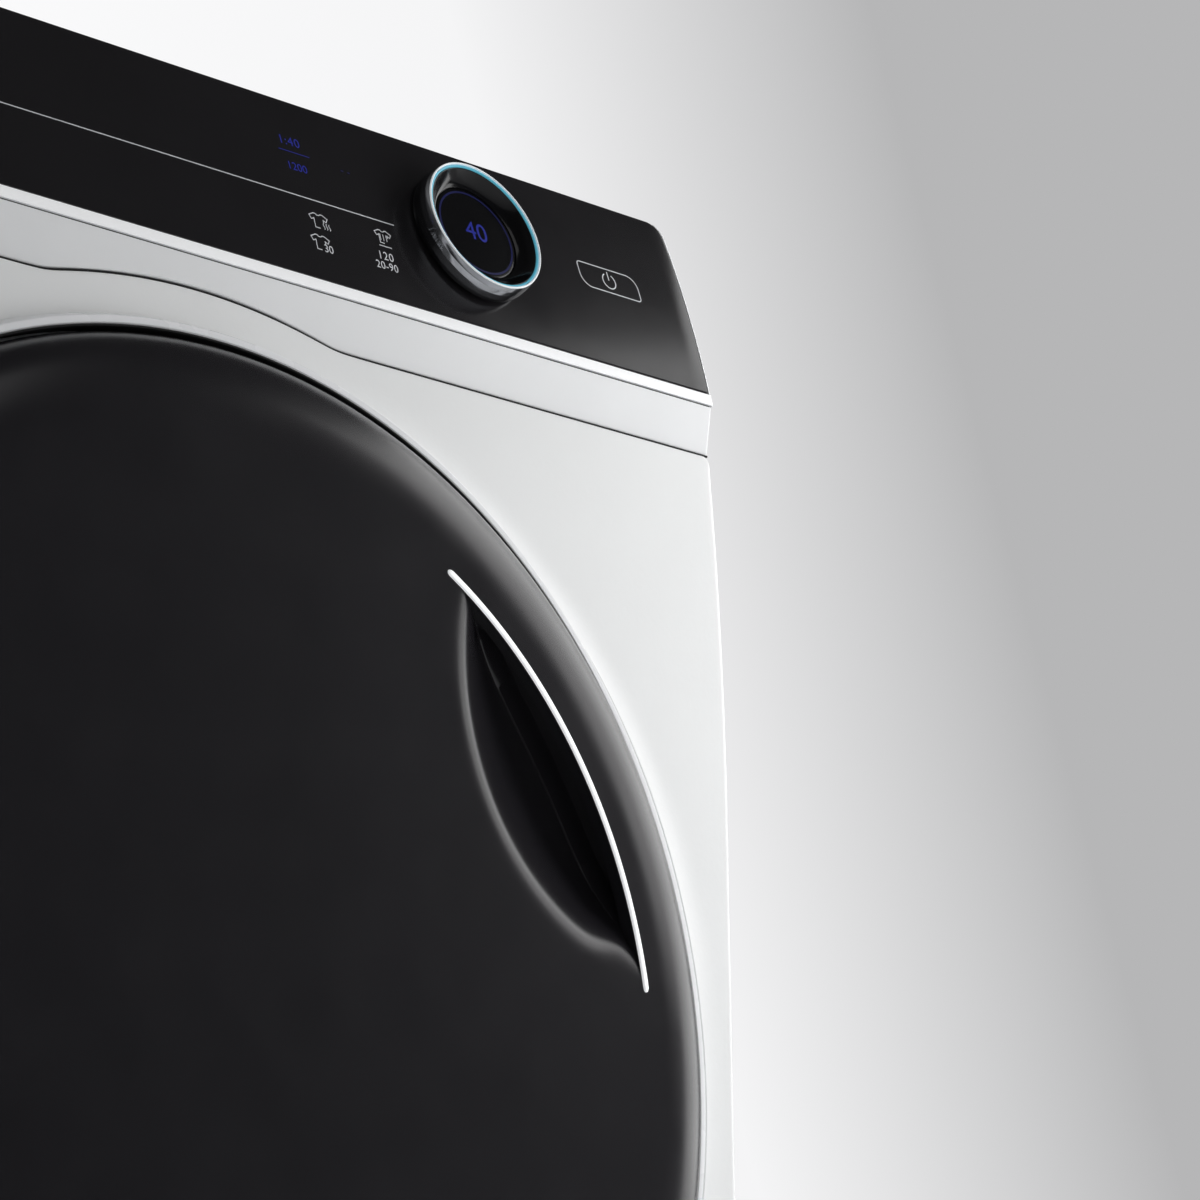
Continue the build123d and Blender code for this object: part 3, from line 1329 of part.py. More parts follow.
export_step(door_gasket.part, "parts/door_gasket.step")

# Tub: two plastic shells bolted at a flange, with concrete weights in front

FAN_X = 80
PORT_R = 22
PORT_Z = DOOR_Z + 144
HEATER_X = 20
HEATER_R = 4
HEATER_DROP = math.sqrt((DRUM_R + TUB_GAP / 2 + 1) ** 2 - HEATER_X**2)
TUB_LUG_W = 16
LUG_TOP = DOOR_Z + math.sqrt(TUB_OUTER_R**2 - SPRING_X**2) + 20
LUG_BOTTOM = DOOR_Z - math.sqrt(TUB_OUTER_R**2 - DAMPER_X**2) - 24

with BuildPart() as tub_front:
    add(
        turned(
            [
                (NECK_FRONT, NECK_R),
                (NECK_FRONT, NECK_R + TUB_WALL),
                (TUB_FRONT, NECK_R + TUB_WALL),
                (TUB_FRONT, TUB_OUTER_R),
                (TUB_SPLIT - 6, TUB_OUTER_R),
                (TUB_SPLIT - 6, TUB_FLANGE_R),
                (TUB_SPLIT, TUB_FLANGE_R),
                (TUB_SPLIT, TUB_R),
                (TUB_FRONT + TUB_WALL, TUB_R),
                (TUB_FRONT + TUB_WALL, NECK_R),
            ]
        )
    )
    heater_mouth_z = (DOOR_Z - HEATER_DROP - 8, DOOR_Z - HEATER_DROP + 8)
    mouth_depths = (TUB_FRONT - 1, TUB_FRONT + TUB_WALL + 1)
    add(block((-32, 32), mouth_depths, heater_mouth_z), mode=Mode.SUBTRACT)
    sump_plane = TOP.offset(DOOR_Z - TUB_OUTER_R - 14)
    with BuildSketch(sump_plane):
        with Locations((70, TUB_FRONT + 55)):
            Circle(20)
    extrude(amount=30)
    with BuildSketch(sump_plane):
        with Locations((70, TUB_FRONT + 55)):
            Circle(17)
    extrude(amount=60, mode=Mode.SUBTRACT)
    add(turned([(TUB_FRONT + TUB_WALL, 0), (TUB_FRONT + TUB_WALL, TUB_R), (TUB_SPLIT + 1, TUB_R),
                (TUB_SPLIT + 1, 0)]), mode=Mode.SUBTRACT)
tub_front.part.label = "tub_front"
export_step(tub_front.part, "parts/tub_front.step")

with BuildPart() as tub_rear:
    for side in (-1, 1):
        lug_x = (side * SPRING_X - TUB_LUG_W / 2, side * SPRING_X + TUB_LUG_W / 2)
        lug_depths = (SPRING_DEPTH - TUB_LUG_W / 2, SPRING_DEPTH + TUB_LUG_W / 2)
        add(block(lug_x, lug_depths, (DOOR_Z + 60, LUG_TOP)))
    for damper_x, damper_depth in DAMPER_PLACES[2:]:
        lug_x = (damper_x - TUB_LUG_W, damper_x + TUB_LUG_W)
        lug_depths = (damper_depth - TUB_LUG_W, damper_depth + TUB_LUG_W)
        add(block(lug_x, lug_depths, (LUG_BOTTOM, DOOR_Z - 120)))
    hollow_depths = (TUB_SPLIT - 20, TUB_BACK)
    add(turned([(hollow_depths[0], 0), (hollow_depths[0], TUB_R), (hollow_depths[1], TUB_R),
                (hollow_depths[1], 0)]), mode=Mode.SUBTRACT)
    mount_r = STATOR_CORE_R - 12
    add(
        turned(
            [
                (TUB_SPLIT, TUB_R),
                (TUB_SPLIT, TUB_FLANGE_R),
                (TUB_SPLIT + 6, TUB_FLANGE_R),
                (TUB_SPLIT + 6, TUB_OUTER_R),
                (TUB_REAR_FACE, TUB_OUTER_R),
                (TUB_REAR_FACE, mount_r),
                (STATOR_FRONT, mount_r),
                (STATOR_FRONT, mount_r - 8),
                (TUB_REAR_FACE, mount_r - 8),
                (TUB_REAR_FACE, HUB_R),
                (HUB_END, HUB_R - 6),
                (HUB_END, BEARING_R + 0.02),
                (HUB_END - BEARING_W, BEARING_R + 0.02),
                (HUB_END - BEARING_W, SHAFT_R + 3),
                (TUB_BACK + BEARING_W, SHAFT_R + 3),
                (TUB_BACK + BEARING_W, BEARING_R + 0.02),
                (TUB_BACK, BEARING_R + 0.02),
                (TUB_BACK, TUB_R),
            ]
        )
    )
    with BuildSketch(DISC.offset(-TUB_REAR_FACE)):
        with PolarLocations((TUB_OUTER_R + mount_r) / 2, 12):
            Rectangle(TUB_OUTER_R - mount_r - 2, 4)
    extrude(amount=-6)
    with BuildSketch(FRONT.offset(-TUB_BACK + 1)):
        with Locations((FAN_X, PORT_Z)):
            Circle(PORT_R + 2 + PART_GAP)
    extrude(amount=-(TUB_BACK_WALL + 10), mode=Mode.SUBTRACT)
tub_rear.part.label = "tub_rear"
export_step(tub_rear.part, "parts/tub_rear.step")

with BuildPart() as counterweights:
    weight_depths = (TUB_FRONT - 20, TUB_FRONT)
    weight_low = NECK_SEAT + GASKET_T + 6
    weight_high = HEATER_DROP - 10
    for middle in (90, 270):
        with BuildSketch(radial_plane(middle + 55)):
            with Locations((sum(weight_depths) / 2, (weight_low + weight_high) / 2)):
                Rectangle(weight_depths[1] - weight_depths[0], weight_high - weight_low)
        revolve(axis=DRUM_AXIS, revolution_arc=110)
counterweights.part.label = "counterweights"
export_step(counterweights.part, "parts/counterweights.step")

with BuildPart() as suspension_springs:
    spring_low = LUG_TOP
    spring_high = HANGER_Z
    for side in (-1, 1):
        with BuildSketch(Plane(origin=at(side * SPRING_X, SPRING_DEPTH, spring_low))):
            Circle(3)
        extrude(amount=spring_high - spring_low)
        with BuildSketch(Plane(origin=at(side * SPRING_X, SPRING_DEPTH, spring_low + 14))):
            Circle(11)
        extrude(amount=spring_high - spring_low - 28)
suspension_springs.part.label = "suspension_springs"
export_step(suspension_springs.part, "parts/suspension_springs.step")

with BuildPart() as dampers:
    seat_z = FOOT_H + BASE_RIM - 8
    for damper_x, damper_depth in DAMPER_PLACES:
        with BuildSketch(Plane(origin=at(damper_x, damper_depth, seat_z))):
            Circle(12)
        extrude(amount=110)
        with BuildSketch(Plane(origin=at(damper_x, damper_depth, seat_z + 110))):
            Circle(6)
        extrude(amount=LUG_BOTTOM - seat_z - 110)
dampers.part.label = "dampers"
export_step(dampers.part, "parts/dampers.step")

with BuildPart() as wash_heater:
    heater_z = DOOR_Z - HEATER_DROP
    heater_depths = (TUB_FRONT - 4, TUB_FRONT + 150)
    with BuildLine():
        Polyline(
            at(-HEATER_X, heater_depths[0], heater_z), at(-HEATER_X, heater_depths[1], heater_z)
        )
    with BuildSketch(FRONT.offset(-heater_depths[0])):
        with Locations((-HEATER_X, heater_z)):
            Circle(HEATER_R)
    sweep()
    with BuildLine():
        Polyline(at(HEATER_X, heater_depths[0], heater_z), at(HEATER_X, heater_depths[1], heater_z))
    with BuildSketch(FRONT.offset(-heater_depths[0])):
        with Locations((HEATER_X, heater_z)):
            Circle(HEATER_R)
    sweep()
    with BuildSketch(Plane(origin=at(HEATER_X, heater_depths[1], heater_z), z_dir=(0, 1, 0))):
        Circle(HEATER_R)
    revolve(
        axis=Axis(at(0, heater_depths[1], heater_z), (0, 0, 1)), revolution_arc=180
    )
    add(block((-31.5, 31.5), (TUB_FRONT - 6, TUB_FRONT + TUB_WALL - 0.5), (heater_z - 7.5, heater_z + 7.5)))
wash_heater.part.label = "wash_heater"
export_step(wash_heater.part, "parts/wash_heater.step")

# Drum on its shaft

with BuildPart() as drum:
    add(
        turned(
            [
                (DRUM_FRONT + 3, DRUM_R),
                (DRUM_BACK, DRUM_R),
                (DRUM_BACK, 0),
                (DRUM_BACK - DRUM_SHEET, 0),
                (DRUM_BACK - DRUM_SHEET, DRUM_R - DRUM_SHEET),
                (DRUM_FRONT + 3 + DRUM_SHEET, DRUM_R - DRUM_SHEET),
                (DRUM_FRONT + DRUM_SHEET, DRUM_MOUTH_R + 4),
                (DRUM_FRONT + 8, DRUM_MOUTH_R + 1),
                (DRUM_FRONT + 8, DRUM_MOUTH_R),
                (DRUM_FRONT, DRUM_MOUTH_R + 2),
            ]
        )
    )
drum.part.label = "drum"
export_step(drum.part, "parts/drum.step")

with BuildPart() as drum_lifters:
    lifter_seat = DRUM_R - DRUM_SHEET
    crest_r = lifter_seat - LIFTER_HEIGHT
    with BuildSketch(DISC.offset(-DRUM_FRONT - 20)) as lifter_section:
        with PolarLocations(0, 3, start_angle=30):
            Polygon(
                (lifter_seat + 5, -LIFTER_WIDTH / 2),
                (lifter_seat + 5, LIFTER_WIDTH / 2),
                (crest_r, LIFTER_WIDTH / 5),
                (crest_r, -LIFTER_WIDTH / 5),
                align=None,
            )
        crest = lifter_section.vertices().filter_by(lambda v: math.hypot(v.X, v.Y) < lifter_seat - 10)
        fillet(crest, LIFTER_WIDTH / 5 - 1)
        Circle(lifter_seat, mode=Mode.INTERSECT)
    extrude(amount=-(DRUM_LENGTH - 40))
drum_lifters.part.label = "drum_lifters"
export_step(drum_lifters.part, "parts/drum_lifters.step")

with BuildPart() as drum_spider:
    with BuildSketch(DISC.offset(-DRUM_BACK)):
        with PolarLocations(DRUM_R / 2 - 6, 3, start_angle=90):
            Rectangle(DRUM_R - 12, SPIDER_ARM)
        Circle(SPIDER_HUB_R + 14)
    extrude(amount=-SPIDER_T)
    with BuildSketch(DISC.offset(-DRUM_BACK)):
        Circle(SPIDER_HUB_R)
    extrude(amount=-(TUB_BACK_GAP - 4))
    with BuildSketch(DISC.offset(-DRUM_BACK)):
        Circle(SHAFT_R + 0.02)
    extrude(amount=-TUB_BACK_GAP, mode=Mode.SUBTRACT)
drum_spider.part.label = "drum_spider"
export_step(drum_spider.part, "parts/drum_spider.step")

with BuildPart() as drum_shaft:
    with BuildSketch(DISC.offset(-DRUM_BACK)):
        Circle(SHAFT_R)
    extrude(amount=-(SHAFT_END - DRUM_BACK))
    chamfer(drum_shaft.edges().filter_by(GeomType.CIRCLE), 1)
drum_shaft.part.label = "drum_shaft"
export_step(drum_shaft.part, "parts/drum_shaft.step")

with BuildPart() as drum_bearings:
    for start in (TUB_BACK, HUB_END - BEARING_W):
        with BuildSketch(DISC.offset(-start)):
            Circle(BEARING_R)
            Circle(SHAFT_R + RUNNING_FIT, mode=Mode.SUBTRACT)
        extrude(amount=-BEARING_W)
drum_bearings.part.label = "drum_bearings"
export_step(drum_bearings.part, "parts/drum_bearings.step")

with BuildPart() as motor_stator:
    with BuildSketch(DISC.offset(-STATOR_FRONT)):
        Circle(STATOR_CORE_R)
        with PolarLocations((STATOR_CORE_R + STATOR_R) / 2 - 2, STATOR_TEETH):
            Rectangle(STATOR_R - STATOR_CORE_R + 4, 11)
        Circle(STATOR_CORE_R - 22, mode=Mode.SUBTRACT)
    extrude(amount=-STATOR_T)
motor_stator.part.label = "motor_stator"
export_step(motor_stator.part, "parts/motor_stator.step")

with BuildPart() as motor_rotor:
    add(
        turned(
            [
                (STATOR_FRONT, STATOR_R + ROTOR_GAP),
                (STATOR_FRONT, ROTOR_R),
                (ROTOR_BACK, ROTOR_R),
                (ROTOR_BACK, SHAFT_R + 0.02),
                (ROTOR_BACK - 14, SHAFT_R + 0.02),
                (ROTOR_BACK - 14, SHAFT_R + 14),
                (ROTOR_BACK - ROTOR_SHEET, SHAFT_R + 14),
                (ROTOR_BACK - ROTOR_SHEET, STATOR_R + ROTOR_GAP),
            ]
        )
    )
    with BuildSketch(DISC.offset(-ROTOR_BACK - 1)):
        with PolarLocations((ROTOR_R + SHAFT_R) / 2 + 4, 9):
            SlotOverall(56, 14)
    extrude(amount=ROTOR_SHEET + 2, mode=Mode.SUBTRACT)
motor_rotor.part.label = "motor_rotor"
export_step(motor_rotor.part, "parts/motor_rotor.step")

# Drain pump with the filter that the flap opens to

PUMP_FRONT = BASE_FRONT + BASE_T + 2
FILTER_FRONT = PLINTH_WALL + 4
CAP_R = PUMP_R - 4
PUMP_BACK = PUMP_FRONT + PUMP_LENGTH
SUMP_TOP = DOOR_Z - TUB_OUTER_R - 14
SUMP_DEPTH = TUB_FRONT + 55

with BuildPart() as drain_pump:
    with BuildSketch(FRONT.offset(-PUMP_FRONT)):
        with Locations((PUMP_X, PUMP_Z)):
            Circle(PUMP_R)
    extrude(amount=-(PUMP_BACK - PUMP_FRONT))
    with BuildSketch(FRONT.offset(-PUMP_FRONT)):
        with Locations((PUMP_X, PUMP_Z)):
            Circle(CAP_R + 0.5)
    extrude(amount=-90, mode=Mode.SUBTRACT)
    with BuildSketch(SIDE.offset(PUMP_X)):
        with Locations((SUMP_DEPTH, PUMP_Z)):
            Circle(20)
    extrude(amount=-(PUMP_R + 12))
drain_pump.part.label = "drain_pump"
export_step(drain_pump.part, "parts/drain_pump.step")

with BuildPart() as filter_cap:
    with BuildSketch(FRONT.offset(-PUMP_FRONT)):
        with Locations((PUMP_X, PUMP_Z)):
            Circle(CAP_R)
    extrude(amount=-30)
    with BuildSketch(FRONT.offset(-PUMP_FRONT)):
        with Locations((PUMP_X, PUMP_Z)):
            Circle(CAP_R + 2)
    extrude(amount=8)
    with BuildSketch(FRONT.offset(-PUMP_FRONT + 8)):
        with Locations((PUMP_X, PUMP_Z)):
            SlotOverall(2 * CAP_R, 8)
    extrude(amount=PUMP_FRONT - 8 - FILTER_FRONT)
filter_cap.part.label = "filter_cap"
export_step(filter_cap.part, "parts/filter_cap.step")


def tube_along(points, radius, bend, bore=0):
    """Round tube along straight runs joined by arcs."""
    with BuildPart() as tube:
        with BuildLine():
            path = FilletPolyline(*points, radius=bend)
        start = Plane(origin=path @ 0, z_dir=path % 0)
        with BuildSketch(start):
            Circle(radius)
            if bore:
                Circle(bore, mode=Mode.SUBTRACT)
        sweep()
    return tube.part


with BuildPart() as sump_hose:
    stub_end = PUMP_X - PUMP_R - 12
    add(
        tube_along(
            [
                at(70, SUMP_DEPTH, SUMP_TOP),
                at(70, SUMP_DEPTH, PUMP_Z),
                at(stub_end, SUMP_DEPTH, PUMP_Z),
            ],
            20,
            45,
            bore=17,
        )
    )
sump_hose.part.label = "sump_hose"
export_step(sump_hose.part, "parts/sump_hose.step")

with BuildPart() as drain_hose:
    add(
        tube_along(
            [
                at(PUMP_X, PUMP_BACK, PUMP_Z),
                at(PUMP_X, PUMP_BACK + 60, PUMP_Z),
                at(DRAIN_X, PUMP_BACK + 150, PUMP_Z),
                at(DRAIN_X, REAR_INSIDE - 90, DRAIN_Z),
                at(DRAIN_X, THREAD_END - 0.5, DRAIN_Z),
            ],
            SPOUT_R,
            40,
            bore=SPOUT_R - 2.5,
        )
    )
drain_hose.part.label = "drain_hose"
export_step(drain_hose.part, "parts/drain_hose.step")

# Drying: air is drawn up the condenser behind the tub, past the fan and heater on top of it,
# and down through the nozzle into the gasket

DUCT_BOTTOM = DOOR_Z + TUB_FLANGE_R + 3
DUCT_HEIGHT = 60
DUCT_TOP = DUCT_BOTTOM + DUCT_HEIGHT
DUCT_WIDTH = 96
DUCT_WALL = 2
FAN_R = 74
FAN_DEPTH = TUB_REAR_FACE - FAN_R - 4
NOZZLE_HALF = 26
NOZZLE_FRONT = FLANGE_END + 4
NOZZLE_BACK = NOZZLE_FRONT + 22
NOZZLE_BOTTOM = DOOR_Z + fold_out + PART_GAP
DUCT_FRONT = NOZZLE_FRONT

with BuildPart() as drying_duct:
    runs_x = (-DUCT_WIDTH / 2, DUCT_WIDTH / 2)
    add(block(runs_x, (DUCT_FRONT, FAN_DEPTH), (DUCT_BOTTOM, DUCT_TOP)))
    with BuildSketch(TOP.offset(DUCT_BOTTOM)):
        with Locations((FAN_X, FAN_DEPTH)):
            Circle(FAN_R + DUCT_WALL + 2)
    extrude(amount=DUCT_HEIGHT)
    nozzle_x = (-NOZZLE_HALF, NOZZLE_HALF)
    add(block(nozzle_x, (NOZZLE_FRONT, NOZZLE_BACK), (NOZZLE_BOTTOM, DUCT_BOTTOM + 5)))
    inner_x = (runs_x[0] + DUCT_WALL, runs_x[1] - DUCT_WALL)
    inner_z = (DUCT_BOTTOM + DUCT_WALL, DUCT_TOP - DUCT_WALL)
    add(block(inner_x, (DUCT_FRONT + DUCT_WALL, FAN_DEPTH), inner_z), mode=Mode.SUBTRACT)
    with BuildSketch(TOP.offset(inner_z[0])):
        with Locations((FAN_X, FAN_DEPTH)):
            Circle(FAN_R + 2)
    extrude(amount=inner_z[1] - inner_z[0], mode=Mode.SUBTRACT)
    with BuildSketch(TOP.offset(DUCT_BOTTOM)):
        with Locations((FAN_X, FAN_DEPTH)):
            Circle(26)
    extrude(amount=DUCT_WALL, mode=Mode.SUBTRACT)
    with BuildSketch(TOP.offset(inner_z[1])):
        with Locations((FAN_X, FAN_DEPTH)):
            Circle(6)
    extrude(amount=DUCT_WALL, mode=Mode.SUBTRACT)
    inner_nozzle_x = (nozzle_x[0] + DUCT_WALL, nozzle_x[1] - DUCT_WALL)
    inner_nozzle_depths = (NOZZLE_FRONT + DUCT_WALL, NOZZLE_BACK - DUCT_WALL)
    add(
        block(inner_nozzle_x, inner_nozzle_depths, (NOZZLE_BOTTOM - 1, DUCT_BOTTOM + 5)),
        mode=Mode.SUBTRACT,
    )
drying_duct.part.label = "drying_duct"
export_step(drying_duct.part, "parts/drying_duct.step")

IMPELLER_BOTTOM = DUCT_BOTTOM + DUCT_WALL + 4
BLADE_HEIGHT = 40
FAN_MOTOR_H = (WORKTOP_Z - DUCT_TOP) * 0.6

with BuildPart() as fan_impeller:
    with BuildSketch(TOP.offset(IMPELLER_BOTTOM + BLADE_HEIGHT)):
        with Locations((FAN_X, FAN_DEPTH)):
            Circle(FAN_R - 4)
    extrude(amount=2)
    with BuildSketch(TOP.offset(IMPELLER_BOTTOM)):
        with Locations((FAN_X, FAN_DEPTH)):
            with PolarLocations(FAN_R - 22, 16, rotate=True):
                with Locations(Location((0, 0), 35)):
                    Rectangle(32, 1.6)
    extrude(amount=BLADE_HEIGHT)
    with BuildSketch(TOP.offset(IMPELLER_BOTTOM + BLADE_HEIGHT - 12)):
        with Locations((FAN_X, FAN_DEPTH)):
            Circle(10)
    extrude(amount=12)
    with BuildSketch(TOP.offset(IMPELLER_BOTTOM + BLADE_HEIGHT)):
        with Locations((FAN_X, FAN_DEPTH)):
            Circle(4)
    extrude(amount=DUCT_TOP + FAN_MOTOR_H / 2 - IMPELLER_BOTTOM - BLADE_HEIGHT)
fan_impeller.part.label = "fan_impeller"
export_step(fan_impeller.part, "parts/fan_impeller.step")

with BuildPart() as fan_motor:
    with BuildSketch(TOP.offset(DUCT_TOP)):
        with Locations((FAN_X, FAN_DEPTH)):
            Circle(34)
    extrude(amount=FAN_MOTOR_H)
    chamfer(fan_motor.edges().filter_by(GeomType.CIRCLE).sort_by(Axis.Z)[-1], FAN_MOTOR_H / 6)
    with BuildSketch(TOP.offset(DUCT_TOP)):
        with Locations((FAN_X, FAN_DEPTH)):
            Circle(4 + RUNNING_FIT)
    extrude(amount=FAN_MOTOR_H * 0.75, mode=Mode.SUBTRACT)
fan_motor.part.label = "fan_motor"
export_step(fan_motor.part, "parts/fan_motor.step")

with BuildPart() as duct_heater:
    heater_bars = (-28, 28)
    bar_z = DUCT_BOTTOM + DUCT_WALL + 6
    bar_ends = (DUCT_FRONT + 60, FAN_DEPTH - FAN_R - 16)
    add(
        tube_along(
            [
                at(heater_bars[0], bar_ends[1], bar_z),
                at(heater_bars[0], bar_ends[0], bar_z),
                at(heater_bars[1], bar_ends[0], bar_z),
                at(heater_bars[1], bar_ends[1], bar_z),
            ],
            5.7,
            20,
        )
    )
duct_heater.part.label = "duct_heater"
export_step(duct_heater.part, "parts/duct_heater.step")

with BuildPart() as condenser:
    condenser_x = (FAN_X - 40, FAN_X + 40)
    condenser_depths = (TUB_REAR_FACE + 6 + PART_GAP, TUB_REAR_FACE + 34)
    condenser_z = (PORT_Z - PORT_R - 12, DUCT_BOTTOM - PART_GAP)
    link_depths = (FAN_DEPTH - 36, condenser_depths[1])
    link_z = (DOOR_Z + TUB_OUTER_R + 1, DUCT_BOTTOM - PART_GAP)
    add(block(condenser_x, condenser_depths, condenser_z))
    add(block(condenser_x, link_depths, link_z))
    with BuildSketch(FRONT.offset(-TUB_BACK - 1)):
        with Locations((FAN_X, PORT_Z)):
            Circle(PORT_R + 2)
    extrude(amount=TUB_BACK - condenser_depths[0] - 2)
    fillet(condenser.edges().filter_by(Axis.Z).group_by(Axis.Y)[-1], 6)
    inner_x = (condenser_x[0] + 2, condenser_x[1] - 2)
    inner_depths = (condenser_depths[0] + 2, condenser_depths[1] - 2)
    add(block(inner_x, inner_depths, (condenser_z[0] + 2, link_z[1] - 2)), mode=Mode.SUBTRACT)
    link_inside = (link_depths[0] + 2, inner_depths[1])
    add(block(inner_x, link_inside, (link_z[0] + 2, link_z[1] - 2)), mode=Mode.SUBTRACT)
    with BuildSketch(FRONT.offset(-TUB_BACK)):
        with Locations((FAN_X, PORT_Z)):
            Circle(PORT_R)
    extrude(amount=TUB_BACK - condenser_depths[0] - 3, mode=Mode.SUBTRACT)
    with BuildSketch(TOP.offset(link_z[1] - 3)):
        with Locations((FAN_X, FAN_DEPTH)):
            Circle(26)
    extrude(amount=5, mode=Mode.SUBTRACT)
condenser.part.label = "condenser"
export_step(condenser.part, "parts/condenser.step")

print(f"overall {WIDTH:.1f} x {DEPTH:.1f} x {HEIGHT:.1f}, front face at y {FRONT_Y:.1f}")
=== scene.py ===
import math

import bmesh
import bpy
from mathutils import Matrix, Vector


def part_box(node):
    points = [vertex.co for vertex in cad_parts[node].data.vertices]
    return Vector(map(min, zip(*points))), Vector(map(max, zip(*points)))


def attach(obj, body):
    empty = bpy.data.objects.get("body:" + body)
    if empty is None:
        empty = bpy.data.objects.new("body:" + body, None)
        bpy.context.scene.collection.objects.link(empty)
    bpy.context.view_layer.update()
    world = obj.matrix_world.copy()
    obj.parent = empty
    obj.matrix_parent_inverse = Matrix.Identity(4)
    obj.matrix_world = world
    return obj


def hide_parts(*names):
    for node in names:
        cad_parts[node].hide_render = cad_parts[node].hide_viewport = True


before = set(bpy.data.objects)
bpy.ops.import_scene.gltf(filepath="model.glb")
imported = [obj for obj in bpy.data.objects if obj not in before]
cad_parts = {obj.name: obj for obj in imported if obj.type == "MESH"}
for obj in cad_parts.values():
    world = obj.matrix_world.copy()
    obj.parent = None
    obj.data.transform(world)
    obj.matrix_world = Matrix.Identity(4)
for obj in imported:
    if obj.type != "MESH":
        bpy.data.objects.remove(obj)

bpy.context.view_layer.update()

# Drawing sizes, in millimetres: x to the right, depth behind the front face, z up

MM = 0.001
FRONT_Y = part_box("plinth_panel")[0].y
WIDTH = (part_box("front_panel")[1].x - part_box("front_panel")[0].x) / MM
DOOR_Z = (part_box("door_cover")[0].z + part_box("door_cover")[1].z) / 2 / MM
DOOR_R = (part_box("door_cover")[1].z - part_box("door_cover")[0].z) / 2 / MM
TURN = 2 * math.pi

CROWN = 25
DOME_SAG = 3.5
ROLL_WIDTH = 39
ROLL_DEPTH = 22
DOOR_BACK = 7
DOOR_WALL = 3
STRIP_R = 221
STRIP_SETBACK = 0.35
STRIP_WIDTH = 2.7
STRIP_PROUD = 0.9
STRIP_SEAT = 4
STRIP_ANGLES = (9.7, 61.0)
SCOOP_REACH = 288.2
SCOOP_ANGLE = 34.6
SCOOP_R = 118.6
SCOOP_FLOOR = 2
SCOOP_SLOPE_FOOT = 90
SCOOP_BLEND = 24
BULGE = 4.5
BULGE_HEADING = 256
BULGE_SPREAD = 7
LIP_BLEND = 7
FINGER_ROOM = 10
FINGER_SPAN = (16, 54)
FINGER_TOP = SCOOP_FLOOR - 18

SEAM_ABOVE_DOOR = 286
SEAM_GAP = 1.2
SEAM_Z = DOOR_Z + SEAM_ABOVE_DOOR
BUMP_R = 294.3
PANEL_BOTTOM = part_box("front_panel")[0].z / MM
PANEL_EDGE_R = 4
PANEL_TOP_R = 1.3
PANEL_RETURN = 20
PANEL_HOLE_R = 276.6
FLARE = 1.5
FLARE_WIDTH = 15
BEND_Z = SEAM_Z - 165
BEND_R = 1940

LIP_Z = SEAM_Z + 22
LIP_TOP_Z = LIP_Z + 5.2
LIP_FOOT_DEPTH = 5.1
LIP_TOP_DEPTH = 6.5
LIP_END_R = 1.6
GROOVE_HEIGHT = 0.7
GROOVE_DEPTH = 1.8
GROOVE_Z = LIP_Z - GROOVE_HEIGHT
BAND_FOOT = 9.1
BAND_TOP = 5.9
BAND_END_R = 2.4
RIM_END_R = 1.1
RIM_FLUSH = 0.1
RIM_WIDTH = 1.3
FACE_BOTTOM_Z = LIP_Z + 5.5
FACE_HEIGHT = 85.5
CONSOLE_TOP_Z = FACE_BOTTOM_Z + FACE_HEIGHT
FACE_BOTTOM_DEPTH = 6.9
FACE_TOP_DEPTH = 36
FACE_R = 520
FACE_CORNER_R = 9
PANEL_T = 3
PLATE_GAP = 0.15
PLATE_EDGE_R = 0.9
PLATE_CORNER_R = FACE_CORNER_R - 1.2
PLATE_END = WIDTH / 2 - RIM_WIDTH - PLATE_GAP
CONSOLE_BACK = 46
CONSOLE_WALL = 2.5
CONSOLE_END = 3.5
CONSOLE_RIM = 1
PART_GAP = 0.3
DRAWER_EDGE = -112
CONSOLE_LOW = DRAWER_EDGE + PART_GAP
DRAWER_HIGH = DRAWER_EDGE - PART_GAP
SEAM_BLEND = 1.3
SEAM_DROP = SEAM_BLEND / 20

KNOB_X = 160.3
KNOB_ABOVE_FACE = 42.2
KNOB_TILT = math.radians(19)


def place(x, depth, z):
    """A point of the machine in Blender's metres."""
    return Vector((x * MM, FRONT_Y + depth * MM, z * MM))


def polar(radius, angle, depth):
    """A point at a radius from the door's axis and an angle up from the right, in radians."""
    return place(radius * math.cos(angle), depth, DOOR_Z + radius * math.sin(angle))


def spread(start, end, count):
    """Even steps from a start to an end, both included."""
    return [start + (end - start) * k / count for k in range(count + 1)]


def circle(count):
    """Even angles round a full turn."""
    return [TURN * k / count for k in range(count)]


def eased(count):
    """Shares from 1 to 0 that a quarter round takes in even steps."""
    return [1 - math.sin(math.pi / 2 * k / count) for k in range(count + 1)]


# Mesh helpers


def add_piece(name, shape, body, slot, stands_for=(), look=None, sharp=32):
    """A mesh, or points and faces, as a piece that rides on a body and takes a finish."""
    mesh = shape if isinstance(shape, bpy.types.Mesh) else mesh_from(name, *shape)
    mesh.shade_smooth()
    mesh.set_sharp_from_angle(angle=math.radians(sharp))
    mesh.materials.append(LOOKS[look or slot])
    piece = bpy.data.objects.new(name, mesh)
    bpy.context.scene.collection.objects.link(piece)
    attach(piece, body)
    if stands_for:
        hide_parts(*stands_for)


def mesh_from(name, points, faces):
    """A mesh with doubles joined and its faces turned outwards."""
    mesh = bpy.data.meshes.new(name)
    mesh.from_pydata([tuple(p) for p in points], [], faces)
    shape = bmesh.new()
    shape.from_mesh(mesh)
    bmesh.ops.remove_doubles(shape, verts=shape.verts, dist=1e-7)
    bmesh.ops.dissolve_degenerate(shape, dist=1e-8, edges=shape.edges)
    bmesh.ops.recalc_face_normals(shape, faces=shape.faces)
    shape.to_mesh(mesh)
    shape.free()
    return mesh


